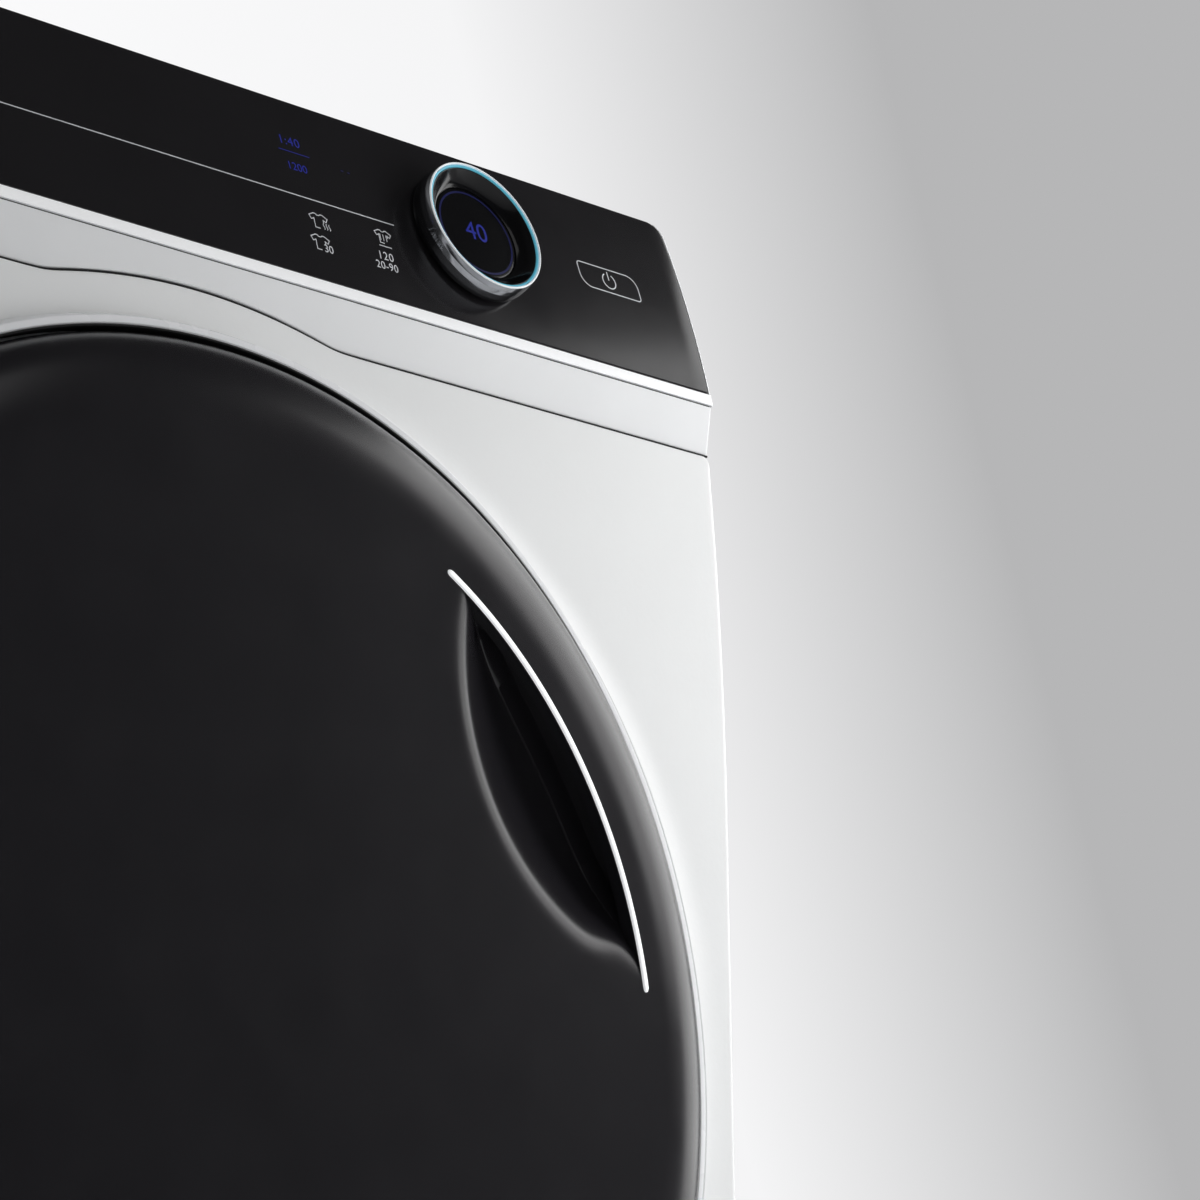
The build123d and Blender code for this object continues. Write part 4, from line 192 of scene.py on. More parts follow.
def grid(rows, close_rows=False, close_across=False, cap_ends=False):
    """Points and faces of a sheet of quads over rows of points."""
    across = len(rows[0])
    points = [p for row in rows for p in row]
    faces = []
    for i in range(len(rows) if close_rows else len(rows) - 1):
        here = i * across
        after = (i + 1) % len(rows) * across
        for j in range(across if close_across else across - 1):
            side = (j + 1) % across
            faces.append((here + j, here + side, after + side, after + j))
    if cap_ends:
        faces.append(tuple(range(across)))
        faces.append(tuple(range(len(points) - across, len(points))))
    return points, faces


def joined(*parts):
    """Several (points, faces) sets as one."""
    points, faces = [], []
    for some_points, some_faces in parts:
        start = len(points)
        points.extend(some_points)
        faces.extend(tuple(start + i for i in face) for face in some_faces)
    return points, faces


def rounded(corners, radii, steps=6):
    """Closed 2D outline with its corners turned into arcs."""
    outline = []
    count = len(corners)
    for i, corner in enumerate(corners):
        radius = radii[i] if isinstance(radii, (list, tuple)) else radii
        here = Vector(corner)
        before = Vector(corners[i - 1]) - here
        after = Vector(corners[(i + 1) % count]) - here
        if radius <= 0:
            outline.append(tuple(here))
            continue
        half = before.angle(after) / 2
        reach = min(radius / math.tan(half), before.length * 0.49, after.length * 0.49)
        radius = reach * math.tan(half)
        before.normalize()
        after.normalize()
        centre = here + (before + after).normalized() * radius / math.sin(half)
        first = here + before * reach - centre
        last = here + after * reach - centre
        sweep = first.angle(last)
        turn = 1 if first.x * last.y - first.y * last.x > 0 else -1
        for k in range(steps + 1):
            angle = turn * sweep * k / steps
            cos_a, sin_a = math.cos(angle), math.sin(angle)
            spoke = Vector((first.x * cos_a - first.y * sin_a, first.x * sin_a + first.y * cos_a))
            outline.append(tuple(centre + spoke))
    return outline


def arc_points(centre, radius, start, end, steps=24):
    """Points along an arc, angles in degrees."""
    return [(centre[0] + radius * math.cos(angle), centre[1] + radius * math.sin(angle))
            for angle in map(math.radians, spread(start, end, steps))]


def door_lathe(profile, steps=480):
    """Closed (depth, radius) profile turned about the door's axis."""
    rows = [[polar(r, angle, d) for d, r in profile] for angle in circle(steps)]
    return grid(rows, close_rows=True, close_across=True)


KNOB_UP = Vector((0, -math.cos(KNOB_TILT), math.sin(KNOB_TILT)))
KNOB_SIDE = Vector((1, 0, 0))
KNOB_BACK = KNOB_UP.cross(KNOB_SIDE)


def knob_lathe(profile, steps=256, closed=True):
    """(radius, height) profile turned about the knob's axis."""
    rows = []
    for angle in circle(steps):
        spoke = KNOB_SIDE * math.cos(angle) + KNOB_BACK * math.sin(angle)
        rows.append([KNOB_FOOT + (spoke * r + KNOB_UP * h) * MM for r, h in profile])
    return grid(rows, close_rows=True, close_across=closed)


def box_mesh(x_range, depth_range, z_range):
    """A block used only to cut other pieces."""
    points = [place(x, d, z) for x in x_range for d in depth_range for z in z_range]
    faces = [(0, 1, 3, 2), (4, 6, 7, 5), (0, 4, 5, 1), (2, 3, 7, 6), (0, 2, 6, 4), (1, 5, 7, 3)]
    return mesh_from("box", points, faces)


def cut(mesh, *cutters):
    """The mesh with each cutter taken away from it."""
    scene = bpy.context.scene
    target = bpy.data.objects.new("cutting", mesh)
    scene.collection.objects.link(target)
    helpers = []
    for cutter in cutters:
        helper = bpy.data.objects.new("cutter", cutter)
        scene.collection.objects.link(helper)
        step = target.modifiers.new("cut", "BOOLEAN")
        step.operation = "DIFFERENCE"
        step.solver = "EXACT"
        step.object = helper
        helpers.append(helper)
    bpy.context.view_layer.update()
    ready = target.evaluated_get(bpy.context.evaluated_depsgraph_get())
    result = bpy.data.meshes.new_from_object(ready)
    for unused in [target, *helpers]:
        bpy.data.objects.remove(unused)
    return result


# Materials: each has colour mottling and roughness smudges, and most a fine surface grain

LOOKS = {}
NOISE_MIDDLE = (0.3, 0.7)


def linear(*rgb):
    """Shader colour from the 0-255 values that it should show as."""
    return [((c / 255 + 0.055) / 1.055) ** 2.4 if c > 10 else c / 255 / 12.92 for c in rgb] + [1]


def fill(tree, node, inputs):
    """Sets a node's inputs to values, or links them to the outputs of other nodes."""
    for key, value in inputs.items():
        if isinstance(value, bpy.types.NodeSocket):
            tree.links.new(value, node.inputs[key])
        else:
            node.inputs[key].default_value = value


def add_node(tree, kind, inputs):
    """A shader node with its inputs filled."""
    node = tree.nodes.new("ShaderNode" + kind)
    fill(tree, node, inputs)
    return node


def noise(tree, size, detail=3, stretch=None):
    """Noise whose features are about the size, in metres, of the object's own space."""
    where = add_node(tree, "TexCoord", {}).outputs["Object"]
    if stretch:
        where = add_node(tree, "Mapping", {"Scale": stretch, "Vector": where}).outputs["Vector"]
    pattern = add_node(tree, "TexNoise", {"Scale": 1 / size, "Detail": detail, "Vector": where})
    return pattern.outputs["Fac"]


def remap(tree, value, source, target, smooth=False):
    """The value's source range spread over the target range."""
    ranges = {"From Min": source[0], "From Max": source[1], "To Min": target[0], "To Max": target[1]}
    node = add_node(tree, "MapRange", {"Value": value, **ranges})
    if smooth:
        node.interpolation_type = "SMOOTHSTEP"
    return node.outputs["Result"]


def blend(tree, share, first, second):
    """Mix of two colours, each a plain colour or a node's output."""
    node = tree.nodes.new("ShaderNodeMix")
    node.data_type = "RGBA"
    fill(tree, node, {"Factor": share, "A": first, "B": second})
    return node.outputs["Result"]


def surface(name, colour, rough, metal=0.0, mottle=0.03, mottle_size=0.05, smudge=0.04,
            smudge_size=0.03, grain=0.02, grain_size=0.0006, stretch=None, coat=0.0,
            coat_rough=0.05, specular=0.5, clear=0.0, glow=None, glow_strength=0.0):
    """A principled finish with procedural variation, kept in LOOKS."""
    look = bpy.data.materials.new(name)
    look.use_nodes = True
    tree = look.node_tree
    base = linear(*colour)[:3]
    dark = [c * (1 - mottle) for c in base] + [1]
    pale = [min(1, c * (1 + mottle)) for c in base] + [1]
    spots = remap(tree, noise(tree, mottle_size), NOISE_MIDDLE, (0, 1))
    patches = noise(tree, smudge_size, 5, stretch)
    roughness = (max(0.01, rough - smudge), rough + smudge)
    shader = tree.nodes["Principled BSDF"]
    fill(tree, shader, {
        "Metallic": metal,
        "IOR": 1.5,
        "Specular IOR Level": specular,
        "Coat Weight": coat,
        "Coat Roughness": coat_rough,
        "Transmission Weight": clear,
        "Base Color": blend(tree, spots, dark, pale),
        "Roughness": remap(tree, patches, NOISE_MIDDLE, roughness),
    })
    if grain:
        height = noise(tree, grain_size * 3, 2, stretch)
        bump = add_node(tree, "Bump", {"Strength": grain, "Distance": grain_size, "Height": height})
        fill(tree, shader, {"Normal": bump.outputs["Normal"]})
    if glow:
        fill(tree, shader, {"Emission Color": linear(*glow), "Emission Strength": glow_strength})
    LOOKS[name] = look
    return look


surface("white_enamel", (237, 238, 238), 0.32, grain=0.05, grain_size=0.0008, coat=0.3,
        coat_rough=0.12, mottle=0.01)
surface("white_plastic", (240, 241, 243), 0.26, mottle=0.01)
surface("band_plastic", (236, 237, 238), 0.34, mottle=0.012, grain=0.04)
surface("white_board", (222, 223, 224), 0.5, mottle=0.012, smudge=0.015, grain=0.12)
surface("base_plastic", (52, 54, 58), 0.55, mottle=0.08, grain=0.2)
surface("galvanised", (150, 154, 158), 0.42, metal=0.9, mottle=0.14, mottle_size=0.012, smudge=0.1,
        smudge_size=0.01, grain=0.05)
surface("grey_plastic", (150, 152, 155), 0.48, mottle=0.05, grain=0.15)
surface("black_gloss", (29, 28, 30), 0.17, mottle=0.06, smudge=0.02, grain=0.003, grain_size=0.002)
surface("door_gloss", (30, 29, 32), 0.24, mottle=0.06, smudge=0.02, grain=0.003, grain_size=0.003)
surface("bright_chrome", (226, 227, 230), 0.09, metal=1, mottle=0.02, smudge=0.03, grain=0.0)
surface("lit_ring", (70, 150, 170), 0.3, glow=(84, 160, 182), glow_strength=0.5, mottle=0.06,
        mottle_size=0.008, grain=0.0)
surface("board_green", (24, 78, 48), 0.4, mottle=0.1, mottle_size=0.004)
surface("clear_glass", (245, 248, 248), 0.02, clear=1, smudge=0.01, mottle=0.004, grain=0.0)
surface("grey_rubber", (96, 98, 101), 0.62, mottle=0.08, grain=0.2, grain_size=0.0004, specular=0.3)
surface("black_rubber", (28, 28, 29), 0.66, mottle=0.12, grain=0.25, grain_size=0.0005, specular=0.3)
surface("tub_plastic", (196, 198, 196), 0.5, mottle=0.04, grain=0.15)
surface("weight_iron", (92, 92, 90), 0.75, mottle=0.2, mottle_size=0.01, grain=0.5, grain_size=0.0012)
surface("stainless", (188, 190, 193), 0.3, metal=0.7, smudge=0.08, smudge_size=0.004,
        stretch=(1, 1, 12))
surface("steel", (168, 170, 174), 0.34, metal=1, mottle=0.06, smudge=0.1, smudge_size=0.006)
surface("cast_alloy", (160, 161, 164), 0.5, metal=1, mottle=0.08, smudge=0.08, grain=0.3,
        grain_size=0.0008)
surface("motor_core", (104, 96, 90), 0.45, metal=0.8, mottle=0.12, mottle_size=0.006, grain=0.2)
surface("blue_plastic", (52, 110, 176), 0.4, mottle=0.05, grain=0.1)
surface("dial_black", (12, 12, 14), 0.13, mottle=0.1, smudge=0.03, grain=0.0)
# Painted light: the lip's finish is a paler copy of the white plastic that also glows, to brighten the
# lip.
surface("lip_white_painted_glow", (250, 251, 252), 0.24, mottle=0.006, glow=(250, 251, 252), glow_strength=0.14)
surface("print", (214, 216, 220), 0.5, mottle_size=0.002, grain=0.0)
surface("led", (8, 10, 34), 0.3, glow=(40, 50, 170), glow_strength=0.5, mottle=0.2,
        mottle_size=0.002, grain=0.0)
surface("led_dim", (8, 9, 20), 0.3, glow=(20, 24, 84), glow_strength=0.5, mottle=0.2,
        mottle_size=0.002, grain=0.0)

for node_name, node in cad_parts.items():
    for holder in node.material_slots:
        shown = holder.material.name.split(".")[0] if holder.material else ""
        if shown in LOOKS:
            holder.material = LOOKS[shown]
        else:
            print("no look for", node_name, shown)

# Curved face of the console

FACE_CHORD = math.hypot(FACE_TOP_DEPTH - FACE_BOTTOM_DEPTH, FACE_HEIGHT)
FACE_DROP = math.sqrt(FACE_R**2 - FACE_CHORD**2 / 4)
FACE_CENTRE_DEPTH = (FACE_BOTTOM_DEPTH + FACE_TOP_DEPTH) / 2 + FACE_DROP * FACE_HEIGHT / FACE_CHORD
FACE_CENTRE_Z = (
    (FACE_BOTTOM_Z + CONSOLE_TOP_Z) / 2
    - FACE_DROP * (FACE_TOP_DEPTH - FACE_BOTTOM_DEPTH) / FACE_CHORD
)
FACE_START = math.asin((FACE_BOTTOM_Z - FACE_CENTRE_Z) / FACE_R)
FACE_END = math.asin((CONSOLE_TOP_Z - FACE_CENTRE_Z) / FACE_R)
FACE_LENGTH = (FACE_END - FACE_START) * FACE_R


def face_depth(z, inset=0):
    """Depth of the curved face, or of an arc that far inside it, at a height."""
    return FACE_CENTRE_DEPTH - math.sqrt((FACE_R - inset) ** 2 - (z - FACE_CENTRE_Z) ** 2)


def on_face(x, up, lift=0):
    """A point at a distance up the curved face from its lower edge, lifted off it."""
    angle = FACE_START + up / FACE_R
    reach = FACE_R + lift
    return place(x, FACE_CENTRE_DEPTH - reach * math.cos(angle), FACE_CENTRE_Z + reach * math.sin(angle))


def corner_cut(along, radius):
    """How far a rounded corner moves an edge in, at a distance along from its end."""
    if along >= radius:
        return 0
    return radius - math.sqrt(max(0, radius**2 - (radius - along) ** 2))


def face_plate(x_low, x_high, corners):
    """Curved plate with rounded corners (bottom left, bottom right, top right, top left)."""
    edge = PLATE_EDGE_R
    low, high = edge, FACE_LENGTH - edge
    left, right = x_low + edge, x_high - edge
    inner = [max(0.4, c - edge) for c in corners]
    ups = [low + inner[0] * (1 - math.cos(math.pi / 2 * k / 8)) for k in range(8)]
    ups += spread(low + inner[0], high - max(inner), 40)
    ups += [high - max(inner) * share for share in eased(14)[1:]]
    rows, rim_left, rim_right = [], [], []
    for up in ups:
        from_low, from_high = up - low, high - up
        cut_left = max(corner_cut(from_low, inner[0]), corner_cut(from_high, inner[3]))
        cut_right = max(corner_cut(from_low, inner[1]), corner_cut(from_high, inner[2]))
        rows.append([(x, up) for x in spread(left + cut_left, right - cut_right, 48)])
        rim_left.append(rim_normal(from_low, from_high, inner[0], inner[3], -1))
        rim_right.append(rim_normal(from_low, from_high, inner[1], inner[2], 1))
    outline = [(p, (0, -1)) for p in rows[0]]
    outline += [(row[-1], n) for row, n in zip(rows[1:], rim_right[1:])]
    outline += [(p, (0, 1)) for p in reversed(rows[-1][:-1])]
    outline += [(row[0], n) for row, n in zip(rows[-2:0:-1], rim_left[-2:0:-1])]
    turns = [math.pi / 2 * k / 6 for k in range(7)]
    levels = [(edge * math.sin(turn), -edge * (1 - math.cos(turn))) for turn in turns]
    rings = [[on_face(x + nx * out, up + ny * out, lift) for (x, up), (nx, ny) in outline]
             for out, lift in (*levels, (edge, -PANEL_T), (0, -PANEL_T))]
    front = grid([[on_face(x, up) for x, up in row] for row in rows])
    back = grid([[on_face(x, up, -PANEL_T) for x, up in row] for row in rows])
    return joined(front, back, grid(rings, close_across=True))


def rim_normal(from_low, from_high, low_r, high_r, side):
    """Outward direction of the plate's side at a place near its corners."""
    if from_low < low_r:
        lean = (low_r - from_low) / low_r
        return (side * math.sqrt(max(0, 1 - lean**2)), -lean)
    if from_high < high_r:
        lean = (high_r - from_high) / high_r
        return (side * math.sqrt(max(0, 1 - lean**2)), lean)
    return (side, 0)


KNOB_Z = FACE_BOTTOM_Z + KNOB_ABOVE_FACE
KNOB_FOOT = place(KNOB_X, face_depth(KNOB_Z), KNOB_Z)
KNOB_BORE_R = 14.3


def knob_bore():
    """Round cutter for the post of the dial."""
    points, faces = knob_lathe([(KNOB_BORE_R, -40), (KNOB_BORE_R, 40)], 96, closed=False)
    faces.append(tuple(range(0, len(points), 2)))
    faces.append(tuple(range(1, len(points), 2)))
    return mesh_from("knob_bore", points, faces)


panel_plate = mesh_from("control_panel_face", *face_plate(CONSOLE_LOW, PLATE_END,
                                                          (0.9, 1.8, PLATE_CORNER_R, 0.9)))
add_piece("control_panel_face", cut(panel_plate, knob_bore()), "cabinet", "black_gloss",
          ["control_panel"])
add_piece("drawer_panel_face", face_plate(-PLATE_END, DRAWER_HIGH, (1.8, 0.9, 0.9, PLATE_CORNER_R)),
          "drawer", "black_gloss", ["drawer_panel"])

# Console channel: band, dark groove and bright lip, rounded at its outer end

NOTCH_R = BUMP_R + SEAM_GAP


def over_door(level, x, radius):
    """Height of a level edge over the door's axis, lifted where a circle stands above it."""
    if abs(x) >= radius:
        return level
    rise = math.sqrt(radius**2 - x**2) - level
    return level + (rise + math.sqrt(rise**2 + SEAM_BLEND**2)) / 2 - SEAM_DROP


def plate_edge(from_end):
    """Height at which the dark panel's rounded corner ends, at a distance in from the end."""
    radius = PLATE_CORNER_R + PLATE_GAP
    past = WIDTH / 2 - from_end - (PLATE_END - PLATE_CORNER_R)
    if past <= 0:
        return CONSOLE_TOP_Z
    return CONSOLE_TOP_Z - PLATE_CORNER_R + math.sqrt(max(0, radius**2 - past**2))


def console_profile(x, outer):
    """(depth, z) outline of the channel's outside at a place across the machine."""
    bottom = DOOR_Z + over_door(SEAM_ABOVE_DOOR, x, NOTCH_R)
    from_end = abs(x - outer)
    seat = RIM_FLUSH if from_end < RIM_WIDTH else PANEL_T + PART_GAP
    top = CONSOLE_TOP_Z - max(CONSOLE_RIM, corner_cut(from_end, FACE_CORNER_R))
    slope = (BAND_FOOT - BAND_TOP) / (GROOVE_Z - SEAM_Z)
    face_low = LIP_TOP_Z + 0.1
    corners = [
        (CONSOLE_BACK, bottom),
        (BAND_FOOT - slope * (bottom - SEAM_Z), bottom),
        (BAND_TOP, GROOVE_Z),
        (BAND_TOP + GROOVE_DEPTH, GROOVE_Z + 0.1),
        (BAND_TOP + GROOVE_DEPTH, LIP_Z),
        (LIP_FOOT_DEPTH, LIP_Z),
        (LIP_TOP_DEPTH, LIP_TOP_Z),
        (face_depth(LIP_TOP_Z, seat), face_low),
    ]
    outline = rounded(corners, [0, 1.1, 0.25, 0, 0, 0.35, 0.35, 0], 5)
    edge = min(top - 0.04, plate_edge(from_end))
    rim_seat = RIM_FLUSH if edge < top - 0.04 else seat
    outline += [(face_depth(z, seat), z) for z in spread(face_low, edge, 14)[1:]]
    outline += [(face_depth(z, rim_seat), z) for z in (edge + 0.02, top)]
    outline.append((CONSOLE_BACK, top))
    moved = []
    for d, z in outline:
        above = max(0, min(1, (z - GROOVE_Z) / 3))
        radius = BAND_END_R + (RIM_END_R - BAND_END_R) * above
        near = max(0, min(1, (CONSOLE_BACK - 4 - d) / 20))
        moved.append((d + corner_cut(from_end, radius) * near, z))
    return moved


def console_shape(x_low, x_high, outer):
    """Closed outside of the channel between two places across the machine."""
    reach = abs(outer)
    stops = {x_low, x_high, *spread(x_low, x_high, 60)}
    for radius, count in ((BAND_END_R, 10), (RIM_END_R, 8), (FACE_CORNER_R, 30)):
        stops.update(math.copysign(reach - radius * share, outer) for share in eased(count))
    stops.update(math.copysign(reach - RIM_WIDTH + gap, outer) for gap in (-0.02, 0.02))
    half_bump = math.sqrt(NOTCH_R**2 - SEAM_ABOVE_DOOR**2)
    stops.update(side * (half_bump + k * 0.75) for side in (-1, 1) for k in range(-16, 17))
    stops.update(spread(-half_bump, half_bump, 120))
    places = [x for x in sorted(stops) if x_low <= x <= x_high]
    rows = [[place(x, d, z) for d, z in console_profile(x, outer)] for x in places]
    return mesh_from("console", *grid(rows, close_across=True, cap_ends=True))


def console_hollow(x_low, x_high):
    """Cutter for the inside of the channel."""
    seat = PANEL_T + PART_GAP + CONSOLE_WALL
    low = DOOR_Z + NOTCH_R + 1 if x_low < 0 < x_high else SEAM_Z + CONSOLE_WALL
    lip_top = LIP_TOP_Z - CONSOLE_WALL / 2
    top = CONSOLE_TOP_Z - CONSOLE_RIM - CONSOLE_WALL
    outline = [(CONSOLE_BACK + 1, low), (BAND_FOOT + CONSOLE_WALL, low),
               (BAND_TOP + GROOVE_DEPTH + CONSOLE_WALL, lip_top)]
    outline += [(face_depth(z, seat), z) for z in spread(lip_top, top, 10)[1:]]
    outline.append((CONSOLE_BACK + 1, top))
    rows = [[place(x, d, z) for d, z in outline]
            for x in (x_low + CONSOLE_END, x_high - CONSOLE_END)]
    return mesh_from("hollow", *grid(rows, close_across=True, cap_ends=True))


def lip_cap(x_low, x_high, outer):
    """Bright facing of the lip under the dark panel, turned round the console's end."""
    top = LIP_TOP_Z + 0.02
    front = rounded([(LIP_FOOT_DEPTH - 0.05, LIP_Z), (LIP_TOP_DEPTH - 0.05, top), (9, top), (9, LIP_Z)],
                    [0.35, 0.35, 0.1, 0.1], 5)
    stops = {x_low, x_high, *spread(x_low, x_high, 40)}
    stops.update(math.copysign(abs(outer) - LIP_END_R * share, outer) for share in eased(10))
    rows = []
    for x in sorted(x for x in stops if x_low <= x <= x_high):
        back = corner_cut(abs(x - outer), LIP_END_R)
        rows.append([place(x, d + back, z) for d, z in front])
    return grid(rows, close_across=True, cap_ends=True)


GRIP_X = (-WIDTH / 2 + DRAWER_EDGE) / 2 + 1
GRIP_WIDTH = 90
GRIP_HEIGHT = 12
GRIP_CORNER_R = 4


def grip_cutter():
    """Rounded slot under the drawer front for the fingers."""
    left, right = GRIP_X - GRIP_WIDTH / 2, GRIP_X + GRIP_WIDTH / 2
    low, high = SEAM_Z + CONSOLE_WALL, SEAM_Z + CONSOLE_WALL + GRIP_HEIGHT
    outline = rounded([(left, low), (right, low), (right, high), (left, high)], GRIP_CORNER_R, 8)
    rows = [[place(x, d, z) for x, z in outline] for d in (0, CONSOLE_BACK - 4)]
    return mesh_from("grip", *grid(rows, close_across=True, cap_ends=True))


housing = cut(console_shape(CONSOLE_LOW, WIDTH / 2, WIDTH / 2),
              console_hollow(CONSOLE_LOW, WIDTH / 2), knob_bore())
add_piece("console_channel", housing, "cabinet", "band_plastic", ["console_housing"], sharp=24)
# The lips take the glowing white finish, painted light that brightens them.
add_piece("console_lip", lip_cap(CONSOLE_LOW, WIDTH / 2, WIDTH / 2), "cabinet", "white_plastic",
          look="lip_white_painted_glow")
add_piece("drawer_lip", lip_cap(-WIDTH / 2, DRAWER_HIGH, -WIDTH / 2), "drawer", "white_plastic",
          look="lip_white_painted_glow")
drawer_shape = cut(console_shape(-WIDTH / 2, DRAWER_HIGH, -WIDTH / 2),
                   console_hollow(-WIDTH / 2, DRAWER_HIGH), grip_cutter())
add_piece("drawer_channel", drawer_shape, "drawer", "band_plastic", ["drawer_front"], sharp=24)

# Front panel: a sheet that leans back over its top, with a bump over the door

TOP_CORNER_R = 6
FOOT_CORNER_R = 4


def panel_depth(z):
    """Depth of the front panel's skin at a height."""
    if z <= BEND_Z:
        return 0
    return BEND_R - math.sqrt(BEND_R**2 - (z - BEND_Z) ** 2)


def panel_top(x):
    """Height of the panel's upper edge over the door's axis, with its bump over the door."""
    return over_door(SEAM_ABOVE_DOOR - SEAM_GAP, x, BUMP_R)


def panel_flare(radius):
    """How far the skin stands forward around the door's collar."""
    from_hole = (radius - PANEL_HOLE_R) / FLARE_WIDTH
    if from_hole >= 1:
        return 0
    return FLARE * (1 - max(0, from_hole)) ** 2


def panel_outline():
    """Points of the panel's edge with their outward directions."""
    half = WIDTH / 2
    foot, head = PANEL_BOTTOM - DOOR_Z, panel_top(half)
    side, low = half - FOOT_CORNER_R, foot + FOOT_CORNER_R
    shoulder, high = half - TOP_CORNER_R, head - TOP_CORNER_R
    raw = [(half, z) for z in spread(low, high, 70)]
    raw += arc_points((shoulder, high), TOP_CORNER_R, 0, 90, 12)[1:]
    raw += [(x, panel_top(x)) for x in spread(shoulder, -shoulder, 240)[1:-1]]
    raw += arc_points((-shoulder, high), TOP_CORNER_R, 90, 180, 12)
    raw += [(-half, z) for z in spread(high, low, 70)[1:]]
    raw += arc_points((-side, low), FOOT_CORNER_R, 180, 270, 8)[1:]
    raw += [(x, foot) for x in spread(-side, side, 70)[1:]]
    raw += arc_points((side, low), FOOT_CORNER_R, 270, 360, 8)[1:-1]
    raw = [Vector(p) for p in raw]
    ring = []
    for i, here in enumerate(raw):
        along = raw[(i + 1) % len(raw)] - raw[i - 1]
        ring.append((here, Vector((along.y, -along.x)).normalized()))
    return ring


def skin(spot, behind=0):
    """A point of the panel's skin over a 2D spot about the door's axis."""
    depth = panel_depth(DOOR_Z + spot.y) - panel_flare(spot.length) + behind
    return place(spot.x, depth, DOOR_Z + spot.y)


def front_sheet():
    """The panel's skin, its rounded edge and its return."""
    steps = 40
    rows = []
    for point, out in panel_outline():
        hole = point.normalized()
        radius = PANEL_EDGE_R - (PANEL_EDGE_R - PANEL_TOP_R) * max(0, out.y) ** 2
        inset = point - out * radius
        edge_depth = panel_depth(DOOR_Z + inset.y)
        low_edge = 0.35 if out.y < -0.7 else 1
        row = [skin(hole * (PANEL_HOLE_R + 0.9), 6), skin(hole * PANEL_HOLE_R, 1.2),
               skin(hole * (PANEL_HOLE_R + 0.15), 0.35)]
        start = hole * (PANEL_HOLE_R + 0.6)
        row += [skin(start.lerp(inset, (k / steps) ** 1.3)) for k in range(steps)]
        for k in range(11):
            turn = math.pi / 2 * k / 10
            spot = inset + out * radius * math.sin(turn)
            back = radius * (1 - math.cos(turn)) * low_edge
            row.append(place(spot.x, edge_depth + back, DOOR_Z + spot.y))
        wall = point - out
        row.append(place(point.x, PANEL_RETURN, DOOR_Z + point.y))
        row.append(place(wall.x, PANEL_RETURN, DOOR_Z + wall.y))
        row.append(place(wall.x, edge_depth + 5, DOOR_Z + wall.y))
        row += [skin(inset.lerp(hole * (PANEL_HOLE_R + 2.4), k / 8), 1) for k in range(9)]
        rows.append(row)
    return grid(rows, close_rows=True, close_across=True)


add_piece("front_sheet", front_sheet(), "cabinet", "white_enamel", ["front_panel"], sharp=40)

# Dark strips of painted shade in the seam under the console and in the groove under its lip


def dark_strip(name, x_low, x_high, foot, height, front, body):
    """A flat dark strip across the machine, painted shade in a seam or groove, given functions for its
    foot and its front.
    """
    rows = []
    for x in spread(x_low, x_high, 400):
        low, near = foot(x), front(x)
        outline = [(near + 0.2, 0), (near, 0.25), (near, 0.75), (near + 0.2, 1), (near + 1.2, 1),
                   (near + 1.2, 0)]
        rows.append([place(x, depth, low + height * share) for depth, share in outline])
    add_piece(name, grid(rows, close_across=True, cap_ends=True), body, "black_rubber")


dark_strip("seam_painted_shade", 2 - WIDTH / 2, WIDTH / 2 - 2, lambda x: DOOR_Z + panel_top(x) + 0.02, 0.9,
           lambda x: panel_depth(DOOR_Z + panel_top(x)) + 1.1, "cabinet")
for name, low, high, body in (
    ("lip_groove_painted_shade", CONSOLE_LOW, WIDTH / 2 - 2, "cabinet"),
    ("drawer_groove_painted_shade", 2 - WIDTH / 2, DRAWER_HIGH, "drawer"),
):
    dark_strip(name, low, high, lambda x: LIP_Z - 0.62, 0.56, lambda x: 6.4, body)

# Door surround: the pale collar, the recess and the flange for the gasket

COLLAR_R = DOOR_R + 2.5
FLANGE_R = COLLAR_R + 14
DISH_DEPTH = 17
OPENING_R = 176
HINGE_X = -266
HINGE_DEPTH = -7
HINGE_SPAN = 50
HOOK_X = 222


def hinge_notches(x_range, depth_range):
    """Cutters that make room for the two hinge arms."""
    heights = [DOOR_Z + side * HINGE_SPAN for side in (-1, 1)]
    return [box_mesh(x_range, depth_range, (z - 9, z + 9)) for z in heights]


surround_outline = rounded(
    [(-1.8, COLLAR_R), (-2.8, COLLAR_R + 0.8), (-2.8, COLLAR_R + 3.4), (-1.3, COLLAR_R + 4.2),
     (9, COLLAR_R + 7.3), (9, FLANGE_R),
     (11.5, FLANGE_R), (11.5, COLLAR_R + 2.5), (19.5, COLLAR_R + 2.5), (19.5, OPENING_R),
     (29.5, OPENING_R), (29.5, OPENING_R - 2.5), (DISH_DEPTH, OPENING_R - 2.5),
     (DISH_DEPTH, COLLAR_R)],
    [0.4, 0.4, 0.7, 0.8, 0.8, 0.3, 0.3, 1, 1, 1.5, 0.4, 0.4, 1.2, 3],
    6,
)
hook_slot = box_mesh((HOOK_X - 6, HOOK_X + 12), (DISH_DEPTH - 1, 20.5), (DOOR_Z - 10, DOOR_Z + 10))
surround = cut(mesh_from("surround", *door_lathe(surround_outline)),
               *hinge_notches((-FLANGE_R - 2, HINGE_X + 5), (-4, DISH_DEPTH - 1)), hook_slot)
add_piece("door_collar", surround, "cabinet", "white_plastic", ["door_surround"], sharp=28)

# Dark ring of painted shade in the gap between the collar and the door

